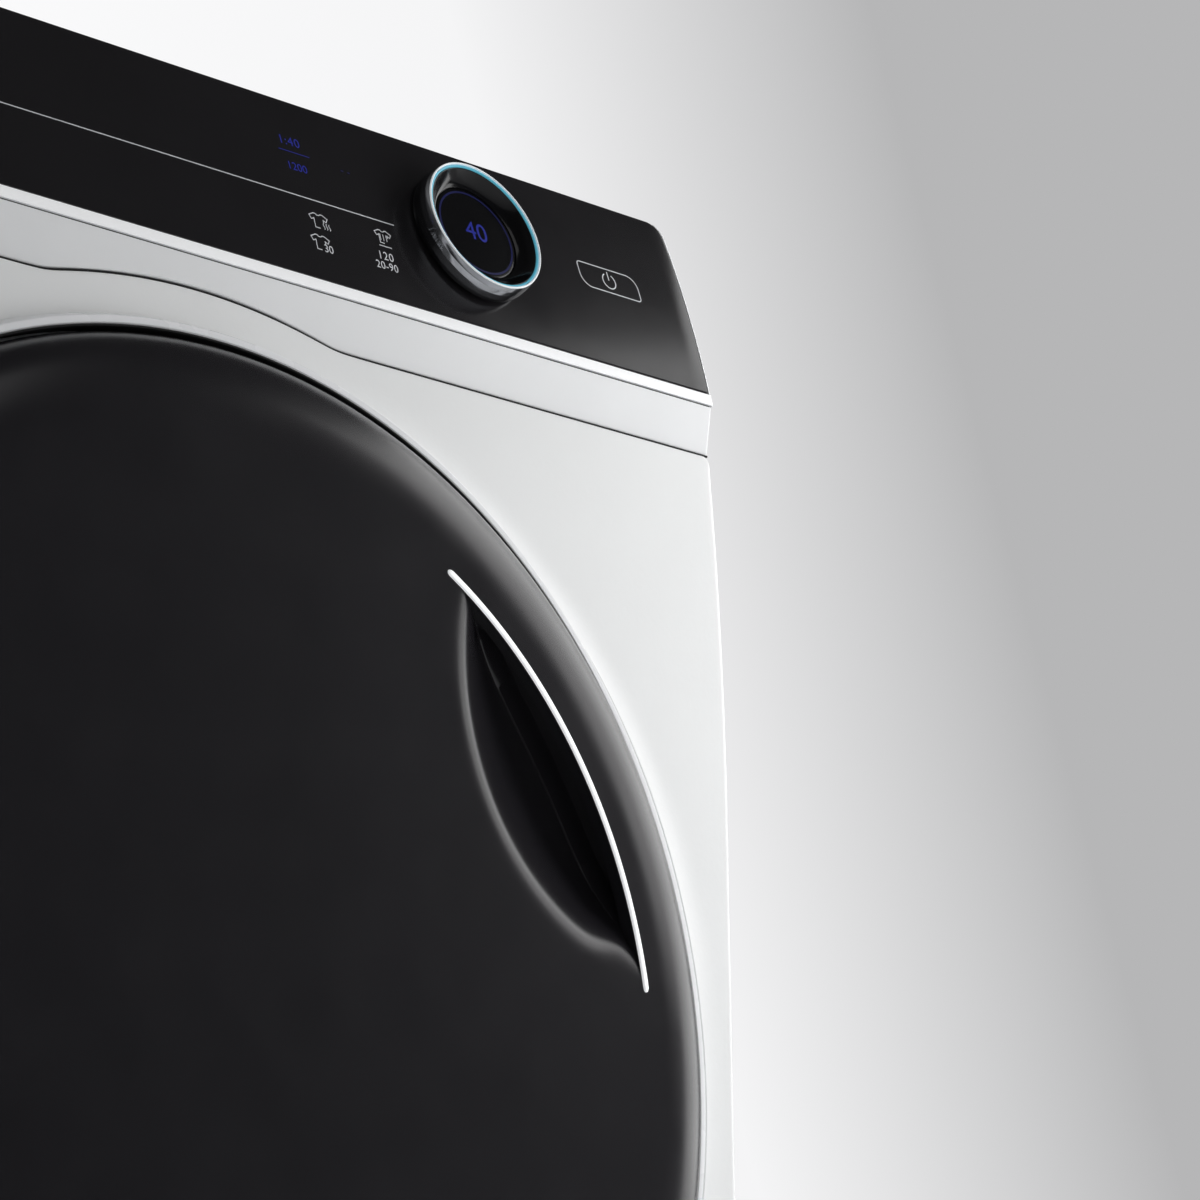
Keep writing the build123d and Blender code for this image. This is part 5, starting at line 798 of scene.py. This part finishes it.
GAP_SHADE_INNER_R = 270.5
GAP_SHADE_OUTER_R = 271.45
gap_shade_outline = rounded([(-3.3, GAP_SHADE_INNER_R), (-3.3, GAP_SHADE_OUTER_R), (8, GAP_SHADE_OUTER_R),
                        (8, GAP_SHADE_INNER_R + 0.3), (0, GAP_SHADE_INNER_R)], [0.4, 0.4, 0.2, 0.2, 0.3], 6)
add_piece("collar_gap_shade", door_lathe(gap_shade_outline), "cabinet", "black_rubber")

# Door cover: one moulding with a soft rim, a scooped pull and an undercut for the fingers

SCOOP_X = SCOOP_REACH * math.cos(math.radians(SCOOP_ANGLE))
SCOOP_UP = SCOOP_REACH * math.sin(math.radians(SCOOP_ANGLE))
ROLL_START = DOOR_R - ROLL_WIDTH
ROLL_END = -CROWN + DOME_SAG + ROLL_DEPTH


def dome_depth(radius):
    """Depth of the door's face, over its soft rim too."""
    if radius <= ROLL_START:
        return -CROWN + DOME_SAG * (radius / ROLL_START) ** 2
    across = min(1, (radius - ROLL_START) / ROLL_WIDTH)
    return ROLL_END - ROLL_DEPTH * math.sqrt(1 - across**2)


def soft_max(a, b, blend):
    """The larger of two depths, with the crease between them rounded over."""
    near = max(0, blend - abs(a - b)) / blend
    return max(a, b) + near**3 * blend / 6


def scoop_depth(radius, angle):
    """Depth of the pull's bowl at a place on the door."""
    x = radius * math.cos(angle) - SCOOP_X
    up = radius * math.sin(angle) - SCOOP_UP
    away = math.hypot(x, up)
    heading = math.degrees(math.atan2(up, x)) % 360
    away += BULGE * math.exp(-(((heading - BULGE_HEADING) / BULGE_SPREAD) ** 2))
    foot = (SCOOP_SLOPE_FOOT, SCOOP_FLOOR - 4)
    lip = (SCOOP_R + 2.5, -CROWN + 1.6)
    slope = (lip[1] - foot[1]) / (lip[0] - foot[0])
    wall = foot[1] + slope * (away - foot[0])
    return -soft_max(-wall, -SCOOP_FLOOR, SCOOP_BLEND)


def cover_depth(radius, angle):
    """Depth of the door's face with the pull in it."""
    return soft_max(dome_depth(radius), scoop_depth(radius, angle), LIP_BLEND)


def door_angles():
    """Angles round the door, close together over the pull."""
    fine = [math.radians(2 + 0.3 * k) for k in range(224)]
    coarse = [math.radians(69.2 + (361.5 - 69.2) * k / 150) for k in range(1, 150)]
    return fine + coarse


def finger_share(angle):
    """How deep the finger room is at an angle, from 0 at its ends to 1."""
    low, high = (math.radians(a) for a in FINGER_SPAN)
    across = (2 * angle - low - high) / (high - low)
    if abs(across) >= 1:
        return 0
    fade = min(1, (1 - abs(across)) / 0.3)
    return fade * fade * (3 - 2 * fade)


def cover_shape():
    """Front, wall of the pull and back of the door cover."""
    inner = [6 * k for k in range(1, 15)] + spread(90, STRIP_R, 96)
    outer = spread(STRIP_R, ROLL_START, 8)
    outer += [DOOR_R - ROLL_WIDTH * share for share in eased(26)[1:]]
    behind = [DOOR_R - DOOR_WALL - 6 * k for k in range(1, 7)] + list(range(216, 0, -12))
    rows = []
    for angle in door_angles():
        low = cover_depth(STRIP_R, angle)
        high = max(dome_depth(STRIP_R), min(FINGER_TOP, low))
        share = finger_share(angle)
        room = FINGER_ROOM * share
        walls = [(0, 0), (0, 0.02), (0.4 * share, 0.06), (room, 0.12), (room, 0.45), (room, 0.8),
                 (room - 3 * share, 1), (0, 1)]
        row = [polar(r, angle, cover_depth(r, angle)) for r in inner]
        row += [polar(STRIP_R + out, angle, low + (high - low) * part) for out, part in walls]
        row += [polar(r, angle, dome_depth(r)) for r in outer]
        row += [polar(r, angle, DOOR_BACK) for r in (DOOR_R, DOOR_R - DOOR_WALL)]
        row += [polar(r, angle, back_depth(r, angle)) for r in behind]
        rows.append(row)
    points, faces = grid(rows, close_rows=True)
    centre = len(points)
    points += [polar(0, 0, cover_depth(0, 0)), polar(0, 0, back_depth(0, 0))]
    across = len(rows[0])
    for i in range(len(rows)):
        after = (i + 1) % len(rows)
        faces.append((i * across, after * across, centre))
        faces.append(((i + 1) * across - 1, (after + 1) * across - 1, centre + 1))
    return points, faces


def back_depth(radius, angle):
    """Depth of the cover's hidden side, behind the finger room where there is one."""
    depth = cover_depth(radius, angle) + DOOR_WALL
    if STRIP_R - 9 < radius < STRIP_R + 15:
        low, high = (math.radians(a) for a in (FINGER_SPAN[0] - 3, FINGER_SPAN[1] + 3))
        if low < angle < high:
            depth = max(depth, SCOOP_FLOOR + 2.5)
    return min(depth, DOOR_BACK - 1.5)


cover = cut(mesh_from("cover", *cover_shape()),
            *hinge_notches((-DOOR_R - 5, HINGE_X + 11.5), (HINGE_DEPTH - 5.2, DOOR_BACK + 5)))
add_piece("door_moulding", cover, "door", "door_gloss", ["door_cover"], sharp=50)

STRIP_END = 2.2
STRIP_TIP = 0.12


def strip_shape():
    """Bright bar with rounded front edges and ends, bent along the pull."""
    front = dome_depth(STRIP_R) - STRIP_PROUD
    back = front + STRIP_SEAT
    inner, outer = STRIP_R + STRIP_SETBACK, STRIP_R + STRIP_SETBACK + STRIP_WIDTH
    outline = rounded([(front, inner), (front, outer), (back, outer), (back, inner)],
                      [0.8, 0.8, 0.2, 0.2], 8)
    low, high = map(math.radians, STRIP_ANGLES)
    end = STRIP_END / STRIP_R
    stops = [low + end * (1 - math.cos(math.pi / 2 * k / 8)) for k in range(8)]
    stops += spread(low + end, high - end, 200)
    stops += [high - end * share for share in eased(8)[1:]]
    middle = (inner + outer) / 2
    rows = []
    for angle in stops:
        inside = min(1, min(angle - low, high - angle) / end)
        share = STRIP_TIP + (1 - STRIP_TIP) * math.sqrt(max(0, 1 - (1 - inside) ** 2))
        rows.append([polar(middle + (r - middle) * share, angle, back + (d - back) * (0.75 + 0.25 * share))
                     for d, r in outline])
    return grid(rows, close_across=True, cap_ends=True)


# Painted light: the strip's white finish glows, making the bar show bright white.
surface("strip", (250, 251, 252), 0.2, mottle=0.006, smudge=0.03, grain=0.0, glow=(250, 251, 252),
        glow_strength=0.35)
add_piece("pull_strip", strip_shape(), "door", "bright_chrome", ["door_strip"], look="strip")

# Dial: chrome sleeve, white bezel and lit ring, dark dish and a small round display

surface("knob_chrome", (158, 160, 164), 0.1, metal=1, smudge=0.03, grain=0.0)
sleeve_outline = rounded(
    [(31.4, 0.8), (32, 3.2), (31.95, 6.5), (31.6, 9), (31.1, 11.2), (30.8, 11.2), (30.8, 9.4),
     (29.5, 9.4), (29.4, 2.5), (14.6, 2.5), (14.6, 1.3), (28.9, 1.3), (28.9, 0.8)],
    [0.7, 2, 2.4, 2, 0.1, 0.1, 0.1, 0.2, 0.6, 0.3, 0.3, 0.3, 0.3],
    8,
)
add_piece("dial_sleeve", knob_lathe(sleeve_outline), "knob", "bright_chrome", ["knob_sleeve"],
          look="knob_chrome")

# Painted light: the bezel's white finish glows a little, brightening the ring round the dial.
surface("bezel_white_painted_glow", (238, 240, 242), 0.22, mottle=0.01, grain=0.0, glow=(232, 240, 244),
        glow_strength=0.2)
bezel_outline = rounded(
    [(30.72, 9.5), (30.74, 11.25), (31.1, 11.25), (31, 11.7), (30.7, 11.9), (30.3, 11.8), (30.2, 9.5)],
    [0.05, 0.05, 0.05, 0.2, 0.15, 0.15, 0.05],
    6,
)
add_piece("dial_bezel", knob_lathe(bezel_outline), "knob", "bright_chrome", ["knob_rim"],
          look="bezel_white_painted_glow")
light_outline = rounded([(29.95, 9.5), (29.95, 11.5), (29.15, 11.2), (29.1, 9.5)],
                        [0.1, 0.2, 0.3, 0.1], 6)
add_piece("dial_light", knob_lathe(light_outline), "knob", "lit_ring")

DISPLAY_R = 21.6
DISPLAY_TOP = 5.33


def display_height(radius):
    """Height of the display's slightly domed glass."""
    return DISPLAY_TOP + 0.25 * math.sin(math.pi / 2 * max(0, 1 - radius / DISPLAY_R))


dish_outline = [(28.95, 10.6), (28.9, 10.85), (28.7, 10.95)]
dish_outline += [(22.6 + 5.9 * share, 5.3 + 5.6 * share**1.5) for share in eased(16)]
dish_outline += [(22.6, 3.8), (12, 3.8), (12, -8.7), (14, -8.7), (14, 2.95), (27.6, 2.95), (28.95, 4.2)]
add_piece("dial_dish", knob_lathe(dish_outline), "cabinet", "black_gloss", ["knob_dish"],
          look="dial_black", sharp=40)
glass_outline = [(0.01, 3.95), (22.3, 3.95), (22.3, 5), (22.05, 5.25)]
glass_outline += [(r, display_height(r)) for r in spread(DISPLAY_R, 0, 8)[:-1]]
glass_outline.append((0.01, display_height(0)))
add_piece("dial_glass", knob_lathe(glass_outline, 192), "cabinet", "black_gloss", ["knob_display"],
          look="dial_black", sharp=40)

# Drum: rows of small dished spots on the inside of the wall, staggered from row to row, painted dark as
# the shade seen through its holes

HOLE_ROWS = 14
HOLES_ROUND = 48
HOLE_MARGIN = 28
HOLE_RINGS = ((0, 0.1), (1.6, 0.12), (2.1, 0.22), (2.6, 0.05))


def drum_hole_shades():
    """Dished spots painted dark as the shade in the drum's holes, each made of rings with a radius and a
    lift off the drum's wall.
    """
    low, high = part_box("drum")
    wall = (high.z - low.z) / 2 / MM - 1
    first, last = ((side.y - FRONT_Y) / MM for side in (low, high))
    spots = []
    for row, depth in enumerate(spread(first + HOLE_MARGIN, last - HOLE_MARGIN, HOLE_ROWS - 1)):
        for k in range(HOLES_ROUND):
            angle = TURN * (k + 0.5 * (row % 2)) / HOLES_ROUND
            rings = [[polar(wall - lift, angle + radius * math.cos(turn) / wall,
                            depth + radius * math.sin(turn)) for turn in circle(10)]
                     for radius, lift in HOLE_RINGS]
            spots.append(grid(rings, close_across=True, cap_ends=True))
    return joined(*spots)


add_piece("drum_hole_shades", drum_hole_shades(), "drum", "black_rubber")

# Screws: pan heads with a cross recess, turned by uneven amounts

SCREW_R = 5.5
SCREW_INSET = 14 * MM
SCREW_TURNS = (0.2, 1.1, 0.7, 1.9, 0.4, 1.4)
CROSS_SHARE = 0.52
CROSS_LEVELS = ((SCREW_R * 0.18, SCREW_R * 0.07), (SCREW_R * 0.9, SCREW_R * 0.1))
CROSS_CORNERS = ((-1, -1), (1, -1), (1, 1), (-1, 1))
CROSS_FACES = [(3, 2, 1, 0), (4, 5, 6, 7), (0, 1, 5, 4), (1, 2, 6, 5), (2, 3, 7, 6), (3, 0, 4, 7)]


def screw(seat, turn):
    """A domed screw head standing on the rear cover, with a cross cut into it."""
    outline = rounded([(0.01, SCREW_R * 0.62), (SCREW_R * 0.6, SCREW_R * 0.58),
                       (SCREW_R, SCREW_R * 0.22), (SCREW_R, 0), (0.01, 0)],
                      [0, SCREW_R * 0.3, SCREW_R * 0.15, 0, 0], 5)
    up = Vector((0, 1, 0))
    side = up.cross(Vector((0.3, 0.5, 0.8))).normalized()
    across = side * math.cos(turn) + up.cross(side) * math.sin(turn)
    along = up.cross(across)
    rows = []
    for angle in circle(28):
        spoke = across * math.cos(angle) + along * math.sin(angle)
        rows.append([seat + (spoke * r + up * h) * MM for r, h in outline])
    head = mesh_from("screw", *grid(rows, close_rows=True, close_across=True))
    cutters = []
    for first, second in ((across, along), (along, across)):
        points = [seat + (first * a * SCREW_R * CROSS_SHARE + second * b * wide + up * height) * MM
                  for height, wide in CROSS_LEVELS for a, b in CROSS_CORNERS]
        cutters.append(mesh_from("cross", points, CROSS_FACES))
    return cut(head, *cutters)


def rear_screws():
    """The screw heads round the rear cover's edge."""
    low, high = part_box("rear_cover")
    seat = low.y + 1 * MM
    places = []
    for share in (0.1, 0.5, 0.9):
        x = low.x + (high.x - low.x) * share
        places += [Vector((x, seat, low.z + SCREW_INSET)), Vector((x, seat, high.z - SCREW_INSET))]
    for share in (0.3, 0.7):
        z = low.z + (high.z - low.z) * share
        places += [Vector((low.x + SCREW_INSET, seat, z)), Vector((high.x - SCREW_INSET, seat, z))]
    heads = []
    for k, spot in enumerate(places):
        head = screw(spot, SCREW_TURNS[k % len(SCREW_TURNS)])
        heads.append(([v.co.copy() for v in head.vertices], [tuple(p.vertices) for p in head.polygons]))
    return joined(*heads)


add_piece("rear_cover_screws", rear_screws(), "cabinet", "steel")

# Prints: thin raised strokes and figures that follow the surface under them

INK = 0.04


def stroke(points, width, lay=on_face, closed=False):
    """Thin solid ribbon along 2D points, laid on a surface by lay(x, y, lift)."""
    points = [Vector(p) for p in points]
    count = len(points)
    left, right = [], []
    for i, here in enumerate(points):
        before = points[i - 1] if closed or i else here
        after = points[(i + 1) % count] if closed or i < count - 1 else here
        into = (here - before).normalized() if (here - before).length else None
        out = (after - here).normalized() if (after - here).length else None
        along = ((into or out) + (out or into)).normalized()
        side = Vector((-along.y, along.x))
        lean = max(0.5, along.dot(out or into))
        left.append(here + side * width / 2 / lean)
        right.append(here - side * width / 2 / lean)
    rows = [[lay(a.x, a.y, -INK), lay(a.x, a.y, INK), lay(b.x, b.y, INK), lay(b.x, b.y, -INK)]
            for a, b in zip(left, right)]
    return grid(rows, close_rows=closed, close_across=True, cap_ends=not closed)


def figures(text, size, centre, lay=on_face, spacing=1.0):
    """Flat letters or numbers as a thin solid laid on a surface, centred."""
    curve = bpy.data.curves.new("figures", "FONT")
    curve.body = text
    curve.size = size
    curve.align_x = "CENTER"
    curve.align_y = "CENTER"
    curve.space_character = spacing
    curve.resolution_u = 6
    holder = bpy.data.objects.new("figures", curve)
    bpy.context.scene.collection.objects.link(holder)
    bpy.context.view_layer.update()
    flat = bpy.data.meshes.new_from_object(holder.evaluated_get(bpy.context.evaluated_depsgraph_get()))
    bpy.data.objects.remove(holder)
    shape = bmesh.new()
    shape.from_mesh(flat)
    bmesh.ops.remove_doubles(shape, verts=shape.verts, dist=size * 1e-4)
    shape.verts.index_update()
    points = [lay(v.co.x + centre[0], v.co.y + centre[1], lift)
              for lift in (INK, -INK) for v in shape.verts]
    count = len(shape.verts)
    faces = [tuple(v.index for v in f.verts) for f in shape.faces]
    faces += [tuple(v.index + count for v in reversed(f.verts)) for f in shape.faces]
    for edge in shape.edges:
        if len(edge.link_faces) == 1:
            a, b = (v.index for v in edge.verts)
            faces.append((a, b, b + count, a + count))
    shape.free()
    return points, faces


def garment(centre, size):
    """Outline of a short-sleeved shirt, open at the lower right for its sign."""
    outline = [(0.42, -0.1), (0.42, 0.12), (0.66, 0.0), (0.82, 0.3), (0.4, 0.52), (0.22, 0.52),
               (0.1, 0.42), (-0.1, 0.42), (-0.22, 0.52), (-0.4, 0.52), (-0.82, 0.3), (-0.66, 0.0),
               (-0.42, 0.12), (-0.42, -0.6), (0.0, -0.6)]
    return [(centre[0] + x * size, centre[1] + y * size) for x, y in outline]


def wave(start, height, width, steps=12):
    """A rising wavy line."""
    return [(start[0] + width * math.sin(TURN * k / steps), start[1] + height * k / steps)
            for k in range(steps + 1)]


LINE = 0.42
THIN = 0.36
RULE_UP = 39
KEY_X = (228.6, 265.4)
KEY_UP = (39.4, 52.0)
KEY_RADII = (7, 1.8, 7, 1.8)


def panel_prints():
    """Pale signs and plain numbers on the dark panel."""
    key = [(KEY_X[0], KEY_UP[0]), (KEY_X[1], KEY_UP[0]), (KEY_X[1], KEY_UP[1]), (KEY_X[0], KEY_UP[1])]
    x, up = sum(KEY_X) / 2, sum(KEY_UP) / 2
    signs = [
        stroke([(x, RULE_UP) for x in spread(DRAWER_EDGE + 3, 116, 20)], 0.5),
        stroke(garment((71.2, 29.1), 6.1), LINE),
        stroke(garment((69.6, 18.4), 6.1), LINE),
        stroke(garment((107.6, 31.2), 5.6), LINE),
        stroke([(104.2, 26.3), (111.2, 26.3)], LINE),
        stroke(rounded(key, KEY_RADII, 12), 0.5, closed=True),
        stroke(arc_points((x, up), 3.9, 122, 418), 0.55),
        stroke([(x, up + 0.4), (x, up + 4.9)], 0.55),
        figures("30", 5.2, (73.4, 15.8)),
        figures("120", 5.6, (106.4, 21.1), spacing=1.1),
        figures("20-90", 5.2, (106, 16.2), spacing=1.05),
    ]
    signs += [stroke(wave((73.6 + 1.5 * k, 25.4), 3, 0.3), THIN) for k in range(3)]
    signs += [stroke([(105.9 + 1.7 * k, 29), (105.9 + 1.7 * k, 32.2)], THIN) for k in range(3)]
    return joined(*signs)


def on_dial(x, up, lift=0):
    """A point on the dial's round display."""
    height = display_height(math.hypot(x, up)) + lift
    return KNOB_FOOT + (KNOB_SIDE * x + KNOB_BACK * up + KNOB_UP * height) * MM


lit_figures = joined(figures("1:40", 6.4, (65.8, 67), spacing=1.1), figures("1200", 5.6, (66.4, 53.9)),
                     stroke([(58.5, 61.6), (75.5, 61.6)], 0.3))
dial_ring = stroke(arc_points((0, 0), 20.2, 0, 356, 89), 0.9, on_dial, closed=True)
add_piece("panel_prints", panel_prints(), "cabinet", "white_plastic", look="print")
for name, shape, look in (
    ("panel_leds", lit_figures, "led"),
    ("panel_leds_dim", figures("- -", 6, (95, 60.5)), "led_dim"),
    ("dial_figures", figures("40", 13, (0, 0), on_dial), "led"),
    ("dial_ring", dial_ring, "led_dim"),
):
    add_piece(name, shape, "cabinet", "blue_plastic", look=look)

# Stage: floor, pale surroundings, lamps and the camera

FLOOR_GLOW = 0.42
ROOM_LIGHT = 0.28
BACKDROP_ACROSS = (0.646, -0.766, 0.242)
BACKDROP_SHADES = ((0, 250), (0.5, 245), (0.75, 214), (0.97, 182))
MIRROR_SIDE = (-0.6, 0.8, 0)
MIRROR_SHARES = (0.06, 0.4)


def build_floor():
    """A round pale floor that keeps the machine's shadow."""
    rows = [[Vector((r * math.cos(a), r * math.sin(a), -0.0005 - r * 1e-5)) for a in circle(96)]
            for r in (0.001, 1, 3, 9)]
    look = surface("floor_paint", (232, 233, 235), 0.55, mottle=0.01, mottle_size=0.6, grain=0.0)
    tree = look.node_tree
    seen = add_node(tree, "LightPath", {}).outputs["Is Camera Ray"]
    glow = add_node(tree, "Math", {0: seen, 1: FLOOR_GLOW})
    glow.operation = "MULTIPLY"
    fill(tree, tree.nodes["Principled BSDF"], {"Emission Color": (1, 1, 1, 1),
                                               "Emission Strength": glow.outputs["Value"]})
    floor_mesh = mesh_from("floor", *grid(rows, close_across=True))
    floor_mesh.materials.append(look)
    floor = bpy.data.objects.new("floor", floor_mesh)
    bpy.context.scene.collection.objects.link(floor)


def toward(tree, direction):
    """How far a ray of the world goes along a direction."""
    heading = add_node(tree, "TexCoord", {}).outputs["Generated"]
    node = add_node(tree, "VectorMath", {0: heading, 1: direction})
    node.operation = "DOT_PRODUCT"
    return node.outputs["Value"]


def either(tree, first, second):
    """The larger of two values."""
    node = add_node(tree, "Math", {0: first, 1: second})
    node.operation = "MAXIMUM"
    return node.outputs["Value"]


def build_world():
    """Even light on the object, and a pale backdrop that fades to grey at the upper right.

    Reflections show the backdrop darkened, by a share that grows towards one side.
    """
    world = bpy.data.worlds.new("studio")
    bpy.context.scene.world = world
    world.use_nodes = True
    tree = world.node_tree
    tree.nodes.clear()
    across = remap(tree, toward(tree, BACKDROP_ACROSS), (-0.1, 0.1), (0, 1))
    shade = add_node(tree, "ValToRGB", {"Fac": across})
    stops = shade.color_ramp.elements
    stops[1].position = BACKDROP_SHADES[-1][0]
    for position, _ in BACKDROP_SHADES[1:-1]:
        stops.new(position)
    for stop, (_, grey) in zip(stops, BACKDROP_SHADES):
        stop.color = linear(grey, grey, min(255, grey + 1))
    backdrop = shade.outputs["Color"]
    rays = add_node(tree, "LightPath", {}).outputs
    share = remap(tree, toward(tree, MIRROR_SIDE), (0.4, 0.9), MIRROR_SHARES, smooth=True)
    mirrored = blend(tree, share, (0, 0, 0, 1), backdrop)
    seen = blend(tree, rays["Is Camera Ray"], mirrored, backdrop)
    view = add_node(tree, "Background", {"Color": seen, "Strength": 1})
    room = add_node(tree, "Background", {"Color": (1, 1, 1, 1), "Strength": ROOM_LIGHT})
    direct = either(tree, rays["Is Camera Ray"], rays["Is Glossy Ray"])
    direct = either(tree, direct, rays["Is Transmission Ray"])
    mix = add_node(tree, "MixShader", {"Fac": direct, 1: room.outputs["Background"],
                                       2: view.outputs["Background"]})
    add_node(tree, "OutputWorld", {"Surface": mix.outputs["Shader"]})


def lamp(name, position, target, size, power, glossy=True):
    """A soft light aimed at a point."""
    data = bpy.data.lights.new(name, "AREA")
    data.shape = "RECTANGLE"
    data.size, data.size_y = size
    data.energy = power
    holder = bpy.data.objects.new(name, data)
    bpy.context.scene.collection.objects.link(holder)
    holder.location = position
    aim = Vector(target) - Vector(position)
    holder.rotation_mode = "QUATERNION"
    holder.rotation_quaternion = aim.to_track_quat("-Z", "Y")
    holder.visible_glossy = glossy


CAMERA_PLACE = (-1.0852, -1.5195, 0.1992)
CAMERA_ANGLES = (46.32, 14.19, -0.73)
SENSOR_WIDTH = 36
FOCAL_PIXELS = 4439.7
PHOTO_PIXELS = 1200


def build_camera():
    """The photograph's close view of the upper right corner, from the lower left."""
    yaw, pitch, roll = map(math.radians, CAMERA_ANGLES)
    forward = Vector((math.sin(yaw) * math.cos(pitch), math.cos(yaw) * math.cos(pitch), math.sin(pitch)))
    level = Vector((math.cos(yaw), -math.sin(yaw), 0))
    upright = level.cross(forward)
    right = level * math.cos(roll) + upright * math.sin(roll)
    up = upright * math.cos(roll) - level * math.sin(roll)
    data = bpy.data.cameras.new("camera")
    data.sensor_width = SENSOR_WIDTH
    data.lens = SENSOR_WIDTH * FOCAL_PIXELS / PHOTO_PIXELS
    data.clip_start, data.clip_end = 0.05, 50
    holder = bpy.data.objects.new("camera", data)
    bpy.context.scene.collection.objects.link(holder)
    turn = Matrix((right, up, -forward)).transposed().to_4x4()
    holder.matrix_world = Matrix.Translation(CAMERA_PLACE) @ turn
    bpy.context.scene.camera = holder


build_floor()
build_world()
lamp("key", (0.3, -2.2, 2.8), (0.2, -0.25, 0.6), (1.6, 1.4), 4)
lamp("near_right", (0.8, -0.78, 0.7), (0.2, -0.28, 0.6), (0.35, 0.8), 4.8, glossy=False)
lamp("side", (2.4, -0.4, 1.4), (0.2, -0.3, 0.6), (1.3, 1.9), 16)
lamp("strip", (2.0, -1.2, 1.5), (0.2, -0.29, 0.6), (0.4, 1.2), 3.0)
lamp("rear", (-0.9, 2.6, 1.7), (0, 0.3, 0.5), (1.8, 1.6), 46)
lamp("left", (-2.4, 0.35, 1.5), (-0.3, 0, 0.5), (1.2, 1.4), 20, glossy=False)
build_camera()
bpy.context.scene.view_settings.view_transform = "Standard"
